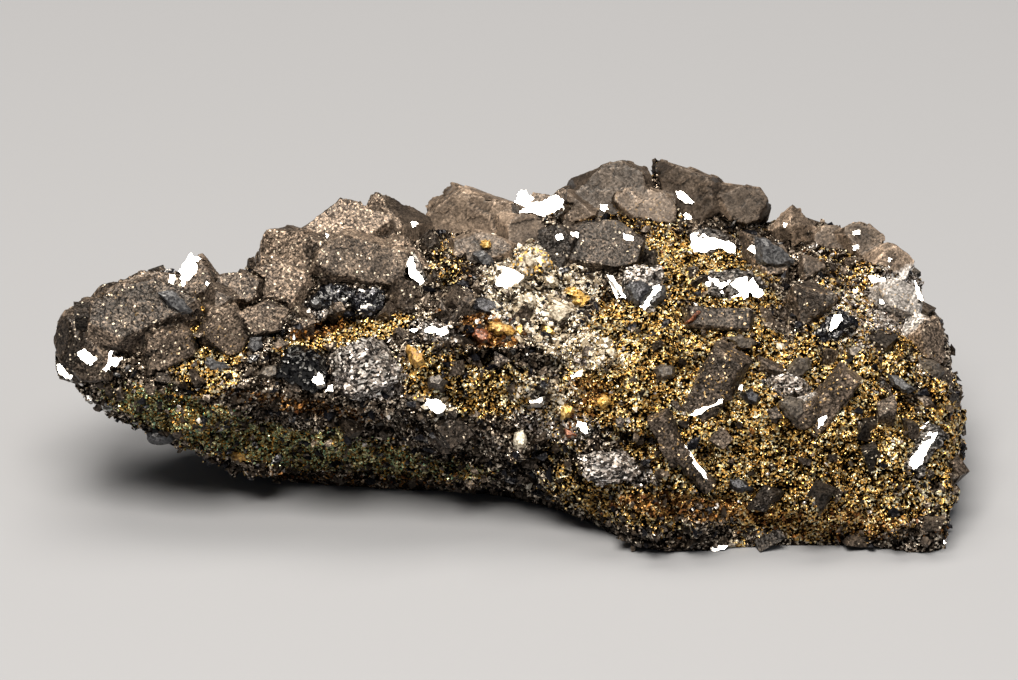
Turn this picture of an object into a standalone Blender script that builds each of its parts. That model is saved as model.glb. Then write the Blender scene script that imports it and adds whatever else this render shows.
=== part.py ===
"""A spinel specimen: a loose block of granular rock set with dark spinel crystals.

Lengths in the tables are in millimetres and are turned into metres where the meshes are made.
X runs along the specimen, -Y faces the viewer and +Z is up.

The places of crystals and pits are read square to a face plane that leans back by LEAN, which is
how the specimen is looked at: x along the specimen, h up the face plane, and depth away from the
viewer. Where a row gives no depth, the piece sits on the rock's surface at that place.
"""

import itertools
import math
import random

import bmesh
import bpy
import numpy as np
from mathutils import Matrix, Vector, noise
from mathutils.bvhtree import BVHTree

MM = 0.001
LEAN = math.radians(25)
WELD = 0.001  # points nearer than this are one corner
PARALLEL = 1e-6  # three planes with a smaller determinant share no corner
FLAT = math.radians(0.3)  # triangles that lie flatter than this are one face
GAP = 0.3  # between a crystal and the socket that it sits in
SEED = 11

ALONG = 40  # rings along the rock
AROUND = 30  # points in each ring
UNDER = 2  # how many of them lie inside the flat base
LUMP_SIZE = 9.0
LUMP_HEIGHT = 1.7
CREASE = 2.4  # how steeply each lump falls to the creases round it
RIPPLE_SIZE = 8.0
RIPPLE_HEIGHT = 1.0
FLOOR_BAND = 2.5  # relief dies out over this height above the flat base

SMALL_CRYSTALS = 40
SMALL_CRYSTAL_SIZE = (2.6, 4.8)
BACK_GROWTH = 1.5  # how much larger they are on the side away from the viewer
FRONT_RIM = 0.4  # they keep off the outline, where the surface turns edge-on to the viewer
BACK_RIM = 0.65
CLEAR_OF_CRYSTALS = 1.2

# Cross-sections of the rock, from its left end to its right end. Each is x, then the (y, z) corners
# of the ring: base front, ridge, face, shoulder, crest, back top, back, base back.
SECTIONS = (
    (-55.5, (-14.3, 19.1), (-14.4, 21.1), (-12.9, 23.1),
     (-10.0, 23.4), (-7.1, 22.6), (-5.0, 21.0), (-5.0, 18.5), (-8.0, 17.5)),
    (-51.0, (-13.9, 13.8), (-16.9, 19.4), (-15.0, 23.5),
     (-9.2, 25.2), (-4.1, 24.3), (0.0, 21.5), (1.5, 17.0), (-3.0, 12.0)),
    (-44.0, (-12.1, 9.4), (-18.4, 17.4), (-16.1, 23.5),
     (-7.9, 26.8), (-2.2, 26.2), (4.0, 22.5), (6.5, 16.0), (2.0, 7.4)),
    (-36.0, (-9.9, 4.8), (-18.9, 16.9), (-16.1, 23.5),
     (-8.1, 26.4), (-1.4, 25.5), (6.0, 22.0), (10.0, 13.0), (6.0, 2.4)),
    (-26.0, (-6.9, 0.0), (-19.3, 16.6), (-16.6, 23.7),
     (-7.0, 27.5), (1.9, 28.9), (9.0, 25.0), (14.0, 14.0), (11.0, 0.0)),
    (-14.0, (-8.2, 0.0), (-19.7, 15.7), (-17.7, 23.7),
     (-5.7, 28.0), (7.7, 29.5), (15.0, 25.0), (20.0, 14.0), (17.0, 0.0)),
    (-2.0, (-9.8, 0.0), (-20.0, 12.6), (-18.5, 23.0),
     (-6.4, 27.8), (13.6, 27.9), (20.0, 23.5), (25.0, 13.0), (22.0, 0.0)),
    (8.0, (-15.5, 0.0), (-21.4, 8.3), (-20.3, 21.6),
     (-7.4, 26.6), (17.8, 27.6), (24.0, 23.0), (28.0, 12.0), (25.0, 0.0)),
    (18.0, (-25.5, 0.0), (-26.5, 5.8), (-22.4, 19.3),
     (-7.4, 25.5), (20.3, 28.1), (26.5, 23.0), (29.5, 12.0), (27.0, 0.0)),
    (30.0, (-24.5, 0.0), (-26.1, 6.7), (-22.0, 19.1),
     (-7.2, 23.8), (19.4, 25.1), (25.5, 20.0), (28.5, 11.0), (26.0, 0.0)),
    (42.0, (-24.0, 0.0), (-25.7, 6.5), (-21.5, 16.6),
     (-7.4, 20.6), (16.8, 23.1), (22.5, 18.5), (25.5, 10.0), (23.0, 0.0)),
    (47.0, (-25.2, 0.0), (-25.6, 6.0), (-20.8, 15.0),
     (-8.0, 19.5), (13.0, 23.8), (19.5, 18.0), (22.5, 10.0), (20.5, 0.0)),
    (51.0, (-26.4, 0.0), (-25.6, 5.4), (-20.0, 12.9),
     (-9.0, 17.0), (8.5, 21.2), (15.0, 16.0), (18.0, 9.0), (16.0, 0.0)),
    (54.3, (-25.0, 0.0), (-24.0, 6.0), (-18.8, 11.0),
     (-10.5, 13.8), (1.0, 16.8), (7.0, 12.0), (10.0, 7.0), (7.5, 0.0)),
)
END_BULGES = (1.2, 3.2)  # how far the left and right ends' closing points stand out past their last ring

# Hollows in the face: x, h, width, height, how deep, turn in degrees
PITS = (
    (-0.5, 13.0, 15.0, 3.6, 5.0, 4),
    (16.5, 3.2, 9.0, 2.6, 3.5, -6),
    (-22.0, 17.3, 9.0, 2.0, 2.5, 14),
    (-5.5, 15.8, 6.0, 2.4, 2.5, -20),
    (24.5, 1.2, 5.0, 2.4, 3.0, -50),
    (39.0, 15.6, 4.0, 2.2, 2.5, 40),
    (25.0, 27.4, 7.0, 2.2, 2.0, -8),
    (-8.0, 8.0, 8.0, 2.0, 2.0, -8),
)

# The spinel crystals, in the nodes that they are joined in. Each row gives the habit, x, h, depth,
# the three widths (along, across, through), which way the broad face looks (degrees to the right of
# the viewer and degrees up), and the turn of its long side in degrees.
CRYSTALS = {
    "left_end_crystals": (
        ("block", -53.2, 15.6, None, (5.0, 7.6, 5.6), (-50, 10), 8),
        ("block", -45.6, 18.7, None, (14.0, 8.2, 7.0), (-6, 44), 13),
        ("block", -49.2, 19.8, -19.0, (6.2, 4.6, 5.0), (-26, 34), 22),
        ("block", -44.2, 21.7, -16.5, (8.4, 4.2, 5.0), (-8, 44), 10),
        ("pyramid", -38.4, 21.2, -18.5, (9.4, 11.0, 8.6), (30, 24), -10),
        ("block", -42.2, 14.8, None, (6.5, 5.6, 5.5), (6, 16), 14),
        ("block", -51.5, 13.2, None, (5.0, 5.5, 4.5), (-20, 20), 10),
        ("block", -54.6, 11.9, -20.5, (3.2, 3.0, 3.0), (-30, 10), 0),
    ),
    "left_step_crystals": (
        ("block", -35.9, 16.7, None, (6.0, 6.5, 5.0), (22, 18), 6),
        ("plate", -30.6, 17.9, None, (7.0, 4.6, 3.6), (10, 30), 15),
        ("block", -34.0, 21.4, -19.0, (7.0, 4.2, 5.0), (0, 45), -4),
    ),
    "left_crest_crystals": (
        ("block", -27.6, 25.6, -14.5, (7.4, 7.0, 6.0), (-26, 24), 42),
        ("block", -28.4, 21.6, None, (7.6, 7.0, 6.0), (-6, 34), 20),
        ("block", -20.4, 28.4, -10.5, (11.5, 7.2, 8.0), (6, 52), 10),
        ("block", -19.2, 24.8, -15.5, (12.0, 7.5, 8.0), (12, 34), -12),
        ("block", -24.2, 25.2, -15.5, (6.5, 7.4, 6.0), (-20, 24), -20),
        ("pyramid", -14.6, 28.9, -8.5, (12.4, 12.4, 9.0), (24, 36), 12),
        ("block", -14.0, 25.2, -13.5, (6.0, 6.0, 5.0), (20, 30), 10),
    ),
    "middle_crest_crystals": (
        ("block", -4.4, 30.4, 0.0, (11.0, 7.6, 7.6), (-6, 26), 4),
        ("block", 1.6, 28.7, -4.5, (5.6, 4.6, 5.0), (8, 30), -6),
        ("block", -3.4, 26.4, -8.0, (8.5, 5.0, 5.0), (0, 40), -8),
        ("plate", 3.6, 31.6, 2.0, (9.0, 4.8, 4.6), (-2, 40), 10),
    ),
    "right_crest_crystals": (
        ("block", 13.5, 33.4, 5.5, (10.0, 8.4, 7.4), (-10, 34), 14),
        ("block", 17.0, 31.8, 4.0, (8.0, 6.0, 6.0), (12, 40), -20),
        ("block", 23.3, 33.6, 7.0, (8.0, 6.4, 6.8), (-18, 26), 4),
        ("block", 29.2, 32.3, 7.0, (6.8, 5.6, 5.8), (16, 36), -22),
        ("octahedron", 9.0, 31.6, 3.5, (5.4, 5.4, 5.0), (-20, 30), 0),
    ),
    "right_shoulder_crystals": (
        ("pyramid", 36.0, 29.6, 5.0, (7.0, 7.0, 6.0), (-10, 36), 6),
        ("block", 40.4, 27.6, 5.0, (4.8, 4.2, 4.6), (10, 40), 0),
        ("block", 44.6, 27.7, 4.0, (4.8, 5.0, 4.6), (16, 36), 30),
        ("block", 47.8, 24.6, 0.5, (5.0, 5.0, 4.6), (30, 36), -40),
    ),
    "right_end_crystals": (
        ("block", 48.9, 20.4, None, (6.0, 4.6, 4.6), (20, 40), -30),
        ("block", 51.9, 15.6, None, (4.4, 5.8, 4.4), (46, 20), -14),
        ("octahedron", 47.0, 15.5, None, (5.6, 4.6, 4.2), (24, 34), 30),
    ),
    "centre_crystal": (
        ("block", 11.4, 26.0, None, (10.6, 7.0, 6.6), (2, 46), -10),
        ("block", 6.2, 26.4, None, (5.0, 6.0, 4.6), (-24, 34), 16),
    ),
    "silver_crystal": (
        ("octahedron", 16.6, 21.9, None, (6.0, 5.4, 4.6), (20, 26), 40),
    ),
    "pale_cluster": (
        ("octahedron", -0.3, 23.0, None, (4.2, 4.2, 3.4), (-6, 42), 12),
        ("block", 2.6, 25.0, None, (5.0, 3.8, 3.6), (6, 40), 30),
        ("octahedron", 1.4, 19.7, None, (6.0, 5.0, 4.0), (-10, 26), 0),
        ("block", 5.3, 17.8, None, (6.0, 4.4, 3.8), (14, 22), -24),
        ("octahedron", 8.8, 20.8, None, (4.2, 3.6, 3.4), (4, 34), 20),
        ("block", 4.4, 21.9, None, (4.6, 4.0, 3.6), (-4, 36), -10),
    ),
    "black_band_crystals": (
        ("plate", -22.0, 20.6, None, (9.4, 4.4, 3.6), (4, 46), 16),
        ("plate", -17.4, 20.0, None, (5.6, 3.8, 3.4), (12, 30), 30),
        ("plate", -6.2, 23.4, None, (6.4, 4.0, 3.6), (-24, 40), -52),
    ),
    "black_lens_crystal": (
        ("plate", -25.2, 12.0, None, (8.2, 4.6, 4.2), (-6, 4), -14),
    ),
    "silvery_lump": (
        ("octahedron", -17.8, 12.0, None, (8.0, 7.0, 5.0), (4, 12), -10),
    ),
    "upper_bar_crystal": (
        ("bar", 26.1, 17.8, None, (8.0, 3.2, 3.4), (2, 40), -2),
    ),
    "large_bar_crystal": (
        ("bar", 25.2, 9.6, None, (9.6, 4.4, 4.2), (-12, 18), 64),
    ),
    "right_bar_crystal": (
        ("bar", 39.6, 7.8, None, (9.4, 3.2, 3.6), (8, 16), 50),
        ("block", 36.4, 6.2, None, (3.6, 3.4, 3.0), (-6, 10), 20),
    ),
    "pale_flake": (
        ("plate", 34.6, 9.6, None, (6.0, 3.2, 2.6), (0, 34), -18),
    ),
    "round_crystal": (
        ("octahedron", 37.4, 19.8, None, (6.2, 6.0, 4.6), (10, 30), 8),
    ),
    "grey_crystal": (
        ("block", 32.9, 25.4, None, (5.4, 4.8, 4.4), (6, 36), -14),
        ("octahedron", 37.8, 24.2, None, (3.8, 3.8, 3.4), (10, 40), 0),
    ),
    "lower_blades": (
        ("bar", 19.8, 3.4, None, (7.0, 2.8, 3.0), (-16, 2), -58),
        ("bar", 22.9, -0.6, None, (6.4, 2.0, 2.6), (4, 6), -52),
    ),
    "lower_silvery_lump": (
        ("octahedron", 12.7, -0.2, None, (8.0, 4.6, 3.8), (0, -4), -16),
    ),
    "white_bar_crystal": (
        ("bar", 51.4, 1.8, None, (6.4, 2.6, 3.0), (8, 34), 56),
    ),
    "slanted_bar_crystal": (
        ("bar", 40.2, 16.2, None, (6.0, 2.4, 2.8), (-10, 30), 54),
    ),
    "upper_white_plate": (
        ("plate", 25.5, 27.6, None, (6.2, 4.0, 2.8), (-2, 40), -16),
    ),
    "lower_white_plate": (
        ("plate", 28.2, 22.2, None, (7.6, 4.6, 3.0), (0, 40), 8),
    ),
    "left_white_bar": (
        ("bar", -11.8, 24.2, None, (4.6, 2.2, 2.6), (-4, 40), -62),
    ),
}

# Colour, roughness and metallic value of each kind of material
FINISHES = {
    "granular_rock": ((0.20, 0.13, 0.05), 0.55, 0.3),
    "spinel": ((0.10, 0.085, 0.07), 0.45, 0.4),
    "black_spinel": ((0.02, 0.02, 0.022), 0.2, 0.5),
    "silvery": ((0.55, 0.52, 0.50), 0.3, 0.7),
    "pale_mineral": ((0.45, 0.40, 0.30), 0.4, 0.2),
}
SILVERY_NODES = {
    "silver_crystal",
    "silvery_lump",
    "lower_silvery_lump",
    "pale_flake",
    "white_bar_crystal",
    "upper_white_plate",
    "lower_white_plate",
    "left_white_bar",
}
BLACK_NODES = {"black_band_crystals", "black_lens_crystal", "slanted_bar_crystal"}


def from_face_plane(x, h, depth):
    """The point at x along, h up the leaning face plane and depth behind it."""
    y = h * math.sin(LEAN) + depth * math.cos(LEAN)
    z = h * math.cos(LEAN) - depth * math.sin(LEAN)
    return Vector((x, y, z))


def direction(right, up):
    """The unit vector that looks these degrees to the viewer's right and up."""
    a = math.radians(right)
    e = math.radians(up)
    return Vector((math.sin(a) * math.cos(e), -math.cos(a) * math.cos(e), math.sin(e)))


def spline(before, start, end, after, t):
    """A Catmull-Rom curve from start to end."""
    slope_in = (end - before) / 2
    slope_out = (after - start) / 2
    t2 = t * t
    t3 = t2 * t
    return (
        (2 * t3 - 3 * t2 + 1) * start
        + (t3 - 2 * t2 + t) * slope_in
        + (3 * t2 - 2 * t3) * end
        + (t3 - t2) * slope_out
    )


def section_at(share):
    """The ring corners of the rock at a share of the way from its first to its last section."""
    place = share * (len(SECTIONS) - 1)
    index = min(int(place), len(SECTIONS) - 2)
    t = place - index
    last = len(SECTIONS) - 1
    near = [SECTIONS[min(max(index + step, 0), last)] for step in (-1, 0, 1, 2)]
    x = spline(*(row[0] for row in near), t)
    corners = []
    for corner in range(1, len(SECTIONS[0])):
        y, z = (spline(*(row[corner][axis] for row in near), t) for axis in (0, 1))
        corners.append(Vector((x, y, max(z, 0.0))))
    return corners


def ring_of(corners):
    """AROUND points on a loop that curves through the corners and runs straight along the base."""
    spans = len(corners) - 1
    steps = AROUND - UNDER - 1
    points = []
    for step in range(steps + 1):
        place = step / steps * spans
        index = min(int(place), spans - 1)
        near = [corners[min(max(index + offset, 0), spans)] for offset in (-1, 0, 1, 2)]
        points.append(spline(*near, place - index))
    for step in range(UNDER):
        points.append(corners[-1].lerp(corners[0], (step + 1) / (UNDER + 1)))
    for point in points:
        point.z = max(point.z, 0.0)
    return points


def relief(point):
    """How far the rock's surface stands out at a point: lumps parted by creases, and slow ripples."""
    nearest, second = noise.voronoi(point / LUMP_SIZE)[0][:2]
    lump = LUMP_HEIGHT * (min(CREASE * (second - nearest), 1.0) - 0.6)
    ripple = RIPPLE_HEIGHT * noise.fractal(point / RIPPLE_SIZE, 0.9, 2.1, 3)
    return lump + ripple


def rock_block():
    """The rock's closed surface in millimetres, as a bmesh, with its base flat at z = 0."""
    block = bmesh.new()
    rings = []
    for step in range(ALONG + 1):
        ring = ring_of(section_at(step / ALONG))
        rings.append([block.verts.new(point) for point in ring])
    for first, second in zip(rings, rings[1:]):
        for i in range(AROUND):
            j = (i + 1) % AROUND
            block.faces.new((first[i], first[j], second[j], second[i]))
    for ring, bulge in ((rings[0], -END_BULGES[0]), (rings[-1], END_BULGES[1])):
        middle = sum((vert.co for vert in ring), Vector()) / AROUND
        tip = block.verts.new(middle + Vector((bulge, 0, 0)))
        for i in range(AROUND):
            block.faces.new((ring[i], ring[(i + 1) % AROUND], tip))
    bmesh.ops.triangulate(block, faces=block.faces[:])
    bmesh.ops.recalc_face_normals(block, faces=block.faces[:])
    block.normal_update()
    moves = []
    for vert in block.verts:
        share = min(max(vert.co.z / FLOOR_BAND, 0.0), 1.0)
        moves.append(vert.normal * relief(vert.co) * share)
    for vert, move in zip(block.verts, moves):
        vert.co += move
        vert.co.z = max(vert.co.z, 0.0)
    return block


def crystal_planes(habit, widths, rng):
    """The flat faces of one crystal, as (normal, distance from its middle). Its broad face is +Z."""
    a, b, c = (width / 2 for width in widths)

    def uneven(spread):
        return 1 + rng.uniform(-spread, spread)

    def tipped(normal, amount):
        shake = Vector([rng.uniform(-amount, amount) for _ in range(3)])
        return (Vector(normal) + shake).normalized()

    planes = [(tipped((0, 0, 1), 0.07), c), (tipped((0, 0, -1), 0.1), c)]
    if habit == "octahedron":  # seen down one of its triangular faces
        rise = math.radians(19.5)
        for side in range(6):
            turn = math.radians(60 * side)
            up = 1 if side % 2 else -1
            reach = 1 / math.hypot(math.cos(turn) / a, math.sin(turn) / b)
            out = Vector((math.cos(turn), math.sin(turn), up * math.tan(rise)))
            planes.append((tipped(out, 0.05), reach * 0.82 * uneven(0.1)))
    elif habit == "bar":
        for side in (-1, 1):
            planes.append((tipped((side, 0, 0.12), 0.1), a * uneven(0.05)))
            planes.append((tipped((0, side, 0.1), 0.05), b * uneven(0.05)))
            planes.append((tipped((0, side, 0.9), 0.05), (b + c) * 0.62 * uneven(0.05)))
    elif habit == "plate":
        for side in range(7):
            turn = math.tau * (side + rng.uniform(-0.25, 0.25)) / 7
            reach = 1 / math.hypot(math.cos(turn) / a, math.sin(turn) / b)
            out = (math.cos(turn), math.sin(turn), rng.uniform(-0.1, 0.45))
            planes.append((tipped(out, 0.05), reach * 0.88 * uneven(0.1)))
    elif habit == "pyramid":  # a whole octahedron, one of its points up
        for signs in itertools.product((-1, 1), repeat=3):
            out = Vector((signs[0] / a, signs[1] / b, signs[2] / c))
            planes.append((tipped(out, 0.03), 1 / out.length * uneven(0.06)))
    else:  # an uneven block, some of its corners cut off
        for side, reach in enumerate((a, b, a, b)):
            turn = math.radians(90 * side + rng.uniform(-16, 16))
            out = (math.cos(turn), math.sin(turn), rng.uniform(-0.05, 0.4))
            planes.append((tipped(out, 0.02), reach * uneven(0.05)))
        corners = list(itertools.product((-1, 1), repeat=2))
        for side, other in rng.sample(corners, 3):
            out = (side / a, other / b, rng.uniform(-0.02, 0.06))
            reach = 1 / math.hypot(1 / a, 1 / b)
            planes.append((tipped(out, 0.05), reach * rng.uniform(1.25, 1.6)))
        for side, other in rng.sample(corners, 3):
            corner = tipped((side / a, other / b, 0.9 / c), 0.06)
            reach = abs(corner.x) * a + abs(corner.y) * b + abs(corner.z) * c
            planes.append((corner, reach * rng.uniform(0.62, 0.86)))
    return planes


def corners_of(planes):
    """The corner points of the convex solid that the planes bound."""
    normals = np.array([normal for normal, _ in planes], dtype=float)
    reaches = np.array([reach for _, reach in planes])
    triples = np.array(list(itertools.combinations(range(len(planes)), 3)))
    sides = normals[triples]
    meeting = np.abs(np.linalg.det(sides)) > PARALLEL
    points = np.linalg.solve(sides[meeting], reaches[triples][meeting][..., None])[..., 0]
    inside = (points @ normals.T <= reaches + WELD / 10).all(axis=1)
    return [Vector(point) for point in points[inside]]


def crystal_mesh(name, planes, placing, grow=0.0):
    """The crystal's mesh in millimetres, each of its faces moved out by grow."""
    shape = bmesh.new()
    for point in corners_of([(normal, reach + grow) for normal, reach in planes]):
        shape.verts.new(placing @ point)
    bmesh.ops.remove_doubles(shape, verts=shape.verts[:], dist=WELD)
    hull = bmesh.ops.convex_hull(shape, input=shape.verts[:], use_existing_faces=False)
    unused = [item for item in hull["geom_interior"] if isinstance(item, bmesh.types.BMVert)]
    bmesh.ops.delete(shape, geom=unused, context="VERTS")
    bmesh.ops.dissolve_limit(shape, angle_limit=FLAT, verts=shape.verts[:], edges=shape.edges[:])
    bmesh.ops.recalc_face_normals(shape, faces=shape.faces[:])
    mesh = bpy.data.meshes.new(name)
    shape.to_mesh(mesh)
    shape.free()
    return mesh


def placing_of(middle, looks, turn):
    """The matrix that puts a crystal at middle, its broad face looking that way."""
    across = Vector((0, 0, 1)).cross(looks).normalized()
    up = looks.cross(across)
    frame = Matrix((across, up, looks)).transposed().to_4x4()
    spin = Matrix.Rotation(math.radians(turn), 4, "Z")
    return Matrix.Translation(middle) @ frame @ spin


def place_on(surface, x, h, depth, thickness):
    """Where a crystal's middle goes: at its depth, or sunk in the rock's surface by part of it."""
    if depth is not None:
        return from_face_plane(x, h, depth)
    start = from_face_plane(x, h, -100)
    inwards = from_face_plane(0, 0, 1)
    hit = surface.ray_cast(start, inwards)[0]
    if hit is None:
        raise ValueError(f"no rock behind x {x}, h {h}")
    return hit - inwards * (0.08 * thickness)


def new_object(name, mesh):
    made = bpy.data.objects.new(name, mesh)
    bpy.context.scene.collection.objects.link(made)
    return made


def combine(body, others, operation):
    """Joins the others to the body or cuts them from it, and removes them."""
    if not others:
        return
    group = bpy.data.collections.new("operands")
    bpy.context.scene.collection.children.link(group)
    for other in others:
        group.objects.link(other)
    modifier = body.modifiers.new(operation.lower(), "BOOLEAN")
    modifier.operation = operation
    modifier.solver = "EXACT"
    modifier.operand_type = "COLLECTION"
    modifier.collection = group
    graph = bpy.context.evaluated_depsgraph_get()
    graph.update()
    mesh = bpy.data.meshes.new_from_object(body.evaluated_get(graph))
    body.modifiers.clear()
    body.data = mesh
    for other in others:
        bpy.data.objects.remove(other)
    bpy.data.collections.remove(group)


def keep_largest_piece(body):
    """Drops the chips that a cut has freed from the body."""
    shape = bmesh.new()
    shape.from_mesh(body.data)
    left = set(shape.verts)
    pieces = []
    while left:
        piece = {left.pop()}
        edge = set(piece)
        while edge:
            edge = {e.other_vert(v) for v in edge for e in v.link_edges} - piece
            piece |= edge
        left -= piece
        pieces.append(piece)
    largest = max(pieces, key=len)
    chips = [vert for vert in shape.verts if vert not in largest]
    bmesh.ops.delete(shape, geom=chips, context="VERTS")
    shape.to_mesh(body.data)
    shape.free()


def cut_pits(rock, surface):
    """Cuts the lens-shaped hollows into the rock's face."""
    cutters = []
    for x, h, width, height, deep, turn in PITS:
        start = from_face_plane(x, h, -100)
        hit = surface.ray_cast(start, from_face_plane(0, 0, 1))[0]
        shape = bmesh.new()
        bmesh.ops.create_icosphere(shape, subdivisions=1, radius=1.0)
        frame = placing_of(hit, direction(0, math.degrees(LEAN)), turn)
        shape.transform(frame @ Matrix.Diagonal((width / 2, height / 2, deep, 1)))
        mesh = bpy.data.meshes.new("pit")
        shape.to_mesh(mesh)
        shape.free()
        cutters.append(new_object("pit", mesh))
    combine(rock, cutters, "DIFFERENCE")


def small_crystals(surface, triangles, taken, rng):
    """Meshes of the many small crystals that are grown together with the rock all over."""
    inwards = from_face_plane(0, 0, 1)
    areas = [(b - a).cross(c - a).length for a, b, c in triangles]
    meshes = []
    while len(meshes) < SMALL_CRYSTALS:
        a, b, c = rng.choices(triangles, weights=areas)[0]
        u, v = rng.random(), rng.random()
        if u + v > 1:
            u, v = 1 - u, 1 - v
        point = a + (b - a) * u + (c - a) * v
        normal = (b - a).cross(c - a).normalized()
        behind = normal.dot(inwards) > 0
        size = rng.uniform(*SMALL_CRYSTAL_SIZE) * (BACK_GROWTH if behind else 1)
        if point.z < size or any((point - p).length < size / 2 + r for p, r in taken):
            continue
        rim = BACK_RIM if behind else FRONT_RIM
        if normal.z < -0.8 or abs(normal.dot(inwards)) < rim:
            continue
        widths = (size * rng.uniform(0.8, 1.5), size * rng.uniform(0.6, 1.0), size * 0.8)
        looks = (normal + Vector([rng.uniform(-0.6, 0.6) for _ in range(3)])).normalized()
        habit = rng.choice(("octahedron", "block", "plate", "bar"))
        planes = crystal_planes(habit, widths, rng)
        placing = placing_of(point + normal * 0.1 * size, looks, rng.uniform(0, 180))
        meshes.append(crystal_mesh("small_crystal", planes, placing))
        taken.append((point, size * 0.55))
    return meshes


def finish(name):
    """The material of a node, made once for each kind."""
    kind = "spinel"
    if name == "matrix":
        kind = "granular_rock"
    elif name in SILVERY_NODES:
        kind = "silvery"
    elif name in BLACK_NODES:
        kind = "black_spinel"
    elif name == "pale_cluster":
        kind = "pale_mineral"
    if kind in bpy.data.materials:
        return bpy.data.materials[kind]
    colour, roughness, metallic = FINISHES[kind]
    made = bpy.data.materials.new(kind)
    made.use_nodes = True
    shader = made.node_tree.nodes["Principled BSDF"]
    shader.inputs["Base Color"].default_value = (*colour, 1)
    shader.inputs["Roughness"].default_value = roughness
    shader.inputs["Metallic"].default_value = metallic
    return made


def crystal_rows(surface):
    """Each node's crystals, as (planes, placing), and the ground that they take up."""
    nodes = {}
    taken = []
    for name, rows in CRYSTALS.items():
        nodes[name] = []
        for index, (habit, x, h, depth, widths, looks, turn) in enumerate(rows):
            rng = random.Random(f"{SEED} {name} {index}")
            middle = place_on(surface, x, h, depth, widths[2])
            placing = placing_of(middle, direction(*looks), turn)
            nodes[name].append((crystal_planes(habit, widths, rng), placing))
            taken.append((middle, max(widths) * 0.42 + CLEAR_OF_CRYSTALS))
    return nodes, taken


def sockets_of(crystals):
    """Cutters for the sockets that the crystals sit in, larger than them by the gap."""
    return [new_object("socket", crystal_mesh("socket", *crystal, grow=GAP)) for crystal in crystals]


def touching(first, second):
    """Whether two objects' surfaces meet."""
    trees = []
    for body in (first, second):
        shape = bmesh.new()
        shape.from_mesh(body.data)
        trees.append(BVHTree.FromBMesh(shape))
        shape.free()
    return bool(trees[0].overlap(trees[1]))


def build():
    for old in list(bpy.data.objects):
        bpy.data.objects.remove(old)

    block = rock_block()
    surface = BVHTree.FromBMesh(block)
    triangles = [tuple(vert.co.copy() for vert in face.verts) for face in block.faces]
    mesh = bpy.data.meshes.new("matrix")
    block.to_mesh(mesh)
    block.free()
    rock = new_object("matrix", mesh)
    cut_pits(rock, surface)

    nodes, taken = crystal_rows(surface)
    small = small_crystals(surface, triangles, taken, random.Random(SEED))
    grown_on = [new_object("small_crystal", mesh) for mesh in small]
    combine(rock, grown_on, "UNION")

    made = []
    for name, crystals in nodes.items():
        shapes = [new_object(name, crystal_mesh(name, *crystal)) for crystal in crystals]
        combine(shapes[0], shapes[1:], "UNION")
        node = shapes[0]
        for other, other_crystals in made:
            sockets = sockets_of(other_crystals)
            near = [socket for socket in sockets if touching(node, socket)]
            for socket in set(sockets) - set(near):
                bpy.data.objects.remove(socket)
            combine(node, near, "DIFFERENCE")
            keep_largest_piece(node)
        made.append((node, crystals))
    sockets = [socket for _, crystals in made for socket in sockets_of(crystals)]
    combine(rock, sockets, "DIFFERENCE")
    keep_largest_piece(rock)

    parts = [rock] + [node for node, _ in made]
    corners = [vert.co for part in parts for vert in part.data.vertices]
    low, high = ([pick(c[axis] for c in corners) for axis in range(3)] for pick in (min, max))
    to_origin = Vector((-(low[0] + high[0]) / 2, -(low[1] + high[1]) / 2, -low[2]))
    for part in parts:
        part.data.transform(Matrix.Scale(MM, 4) @ Matrix.Translation(to_origin))
        part.data.materials.clear()
        part.data.materials.append(finish(part.name))
    return to_origin


SHIFT = build()  # what moves the specimen's middle to the origin, in millimetres
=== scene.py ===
"""The looks of a spinel specimen: dark crystals on a granular rock that glitters with gold.

Work is done in millimetres, in numpy, and turned into metres where a mesh is made. Places that
come from the photograph are given in its pixels and reach the specimen through the camera.
"""

import math

import bmesh
import bpy
import numpy as np
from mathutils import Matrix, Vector
from mathutils.bvhtree import BVHTree


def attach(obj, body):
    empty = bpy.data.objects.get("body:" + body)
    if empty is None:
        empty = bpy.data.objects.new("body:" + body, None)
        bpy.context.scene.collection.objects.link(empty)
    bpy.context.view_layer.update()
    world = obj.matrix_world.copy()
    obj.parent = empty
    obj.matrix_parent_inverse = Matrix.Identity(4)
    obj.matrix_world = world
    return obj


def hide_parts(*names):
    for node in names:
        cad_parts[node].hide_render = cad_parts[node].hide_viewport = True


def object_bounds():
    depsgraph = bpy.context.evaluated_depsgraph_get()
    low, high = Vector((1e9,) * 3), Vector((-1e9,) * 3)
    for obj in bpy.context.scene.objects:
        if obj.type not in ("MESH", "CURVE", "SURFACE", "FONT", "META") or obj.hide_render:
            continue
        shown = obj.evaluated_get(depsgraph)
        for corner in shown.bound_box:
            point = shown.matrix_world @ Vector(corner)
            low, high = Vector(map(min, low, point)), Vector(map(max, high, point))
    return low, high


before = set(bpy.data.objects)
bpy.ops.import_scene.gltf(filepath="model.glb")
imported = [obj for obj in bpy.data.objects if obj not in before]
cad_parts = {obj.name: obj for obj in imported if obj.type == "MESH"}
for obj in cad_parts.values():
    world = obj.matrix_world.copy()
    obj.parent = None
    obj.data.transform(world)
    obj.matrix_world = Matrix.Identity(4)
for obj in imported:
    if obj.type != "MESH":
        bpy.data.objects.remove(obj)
CAD_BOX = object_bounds()

MM = 0.001
SEED = 7

# The photograph's frame, and how the specimen lies in it
PHOTO_SIZE = (1018, 680)
PX_PER_MM = 8.0
TOP_MM = 57.93  # height of the photograph's upper edge on the face plane
ELEVATION = math.radians(25)
FOCUS_DEPTH = -15.0
CAMERA_DISTANCE = 1200.0
SENSOR = 36.0
FRAME_SHIFT = np.array((-0.3892, -2.5126, 0.0))  # from the part's own origin to the frame's

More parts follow.
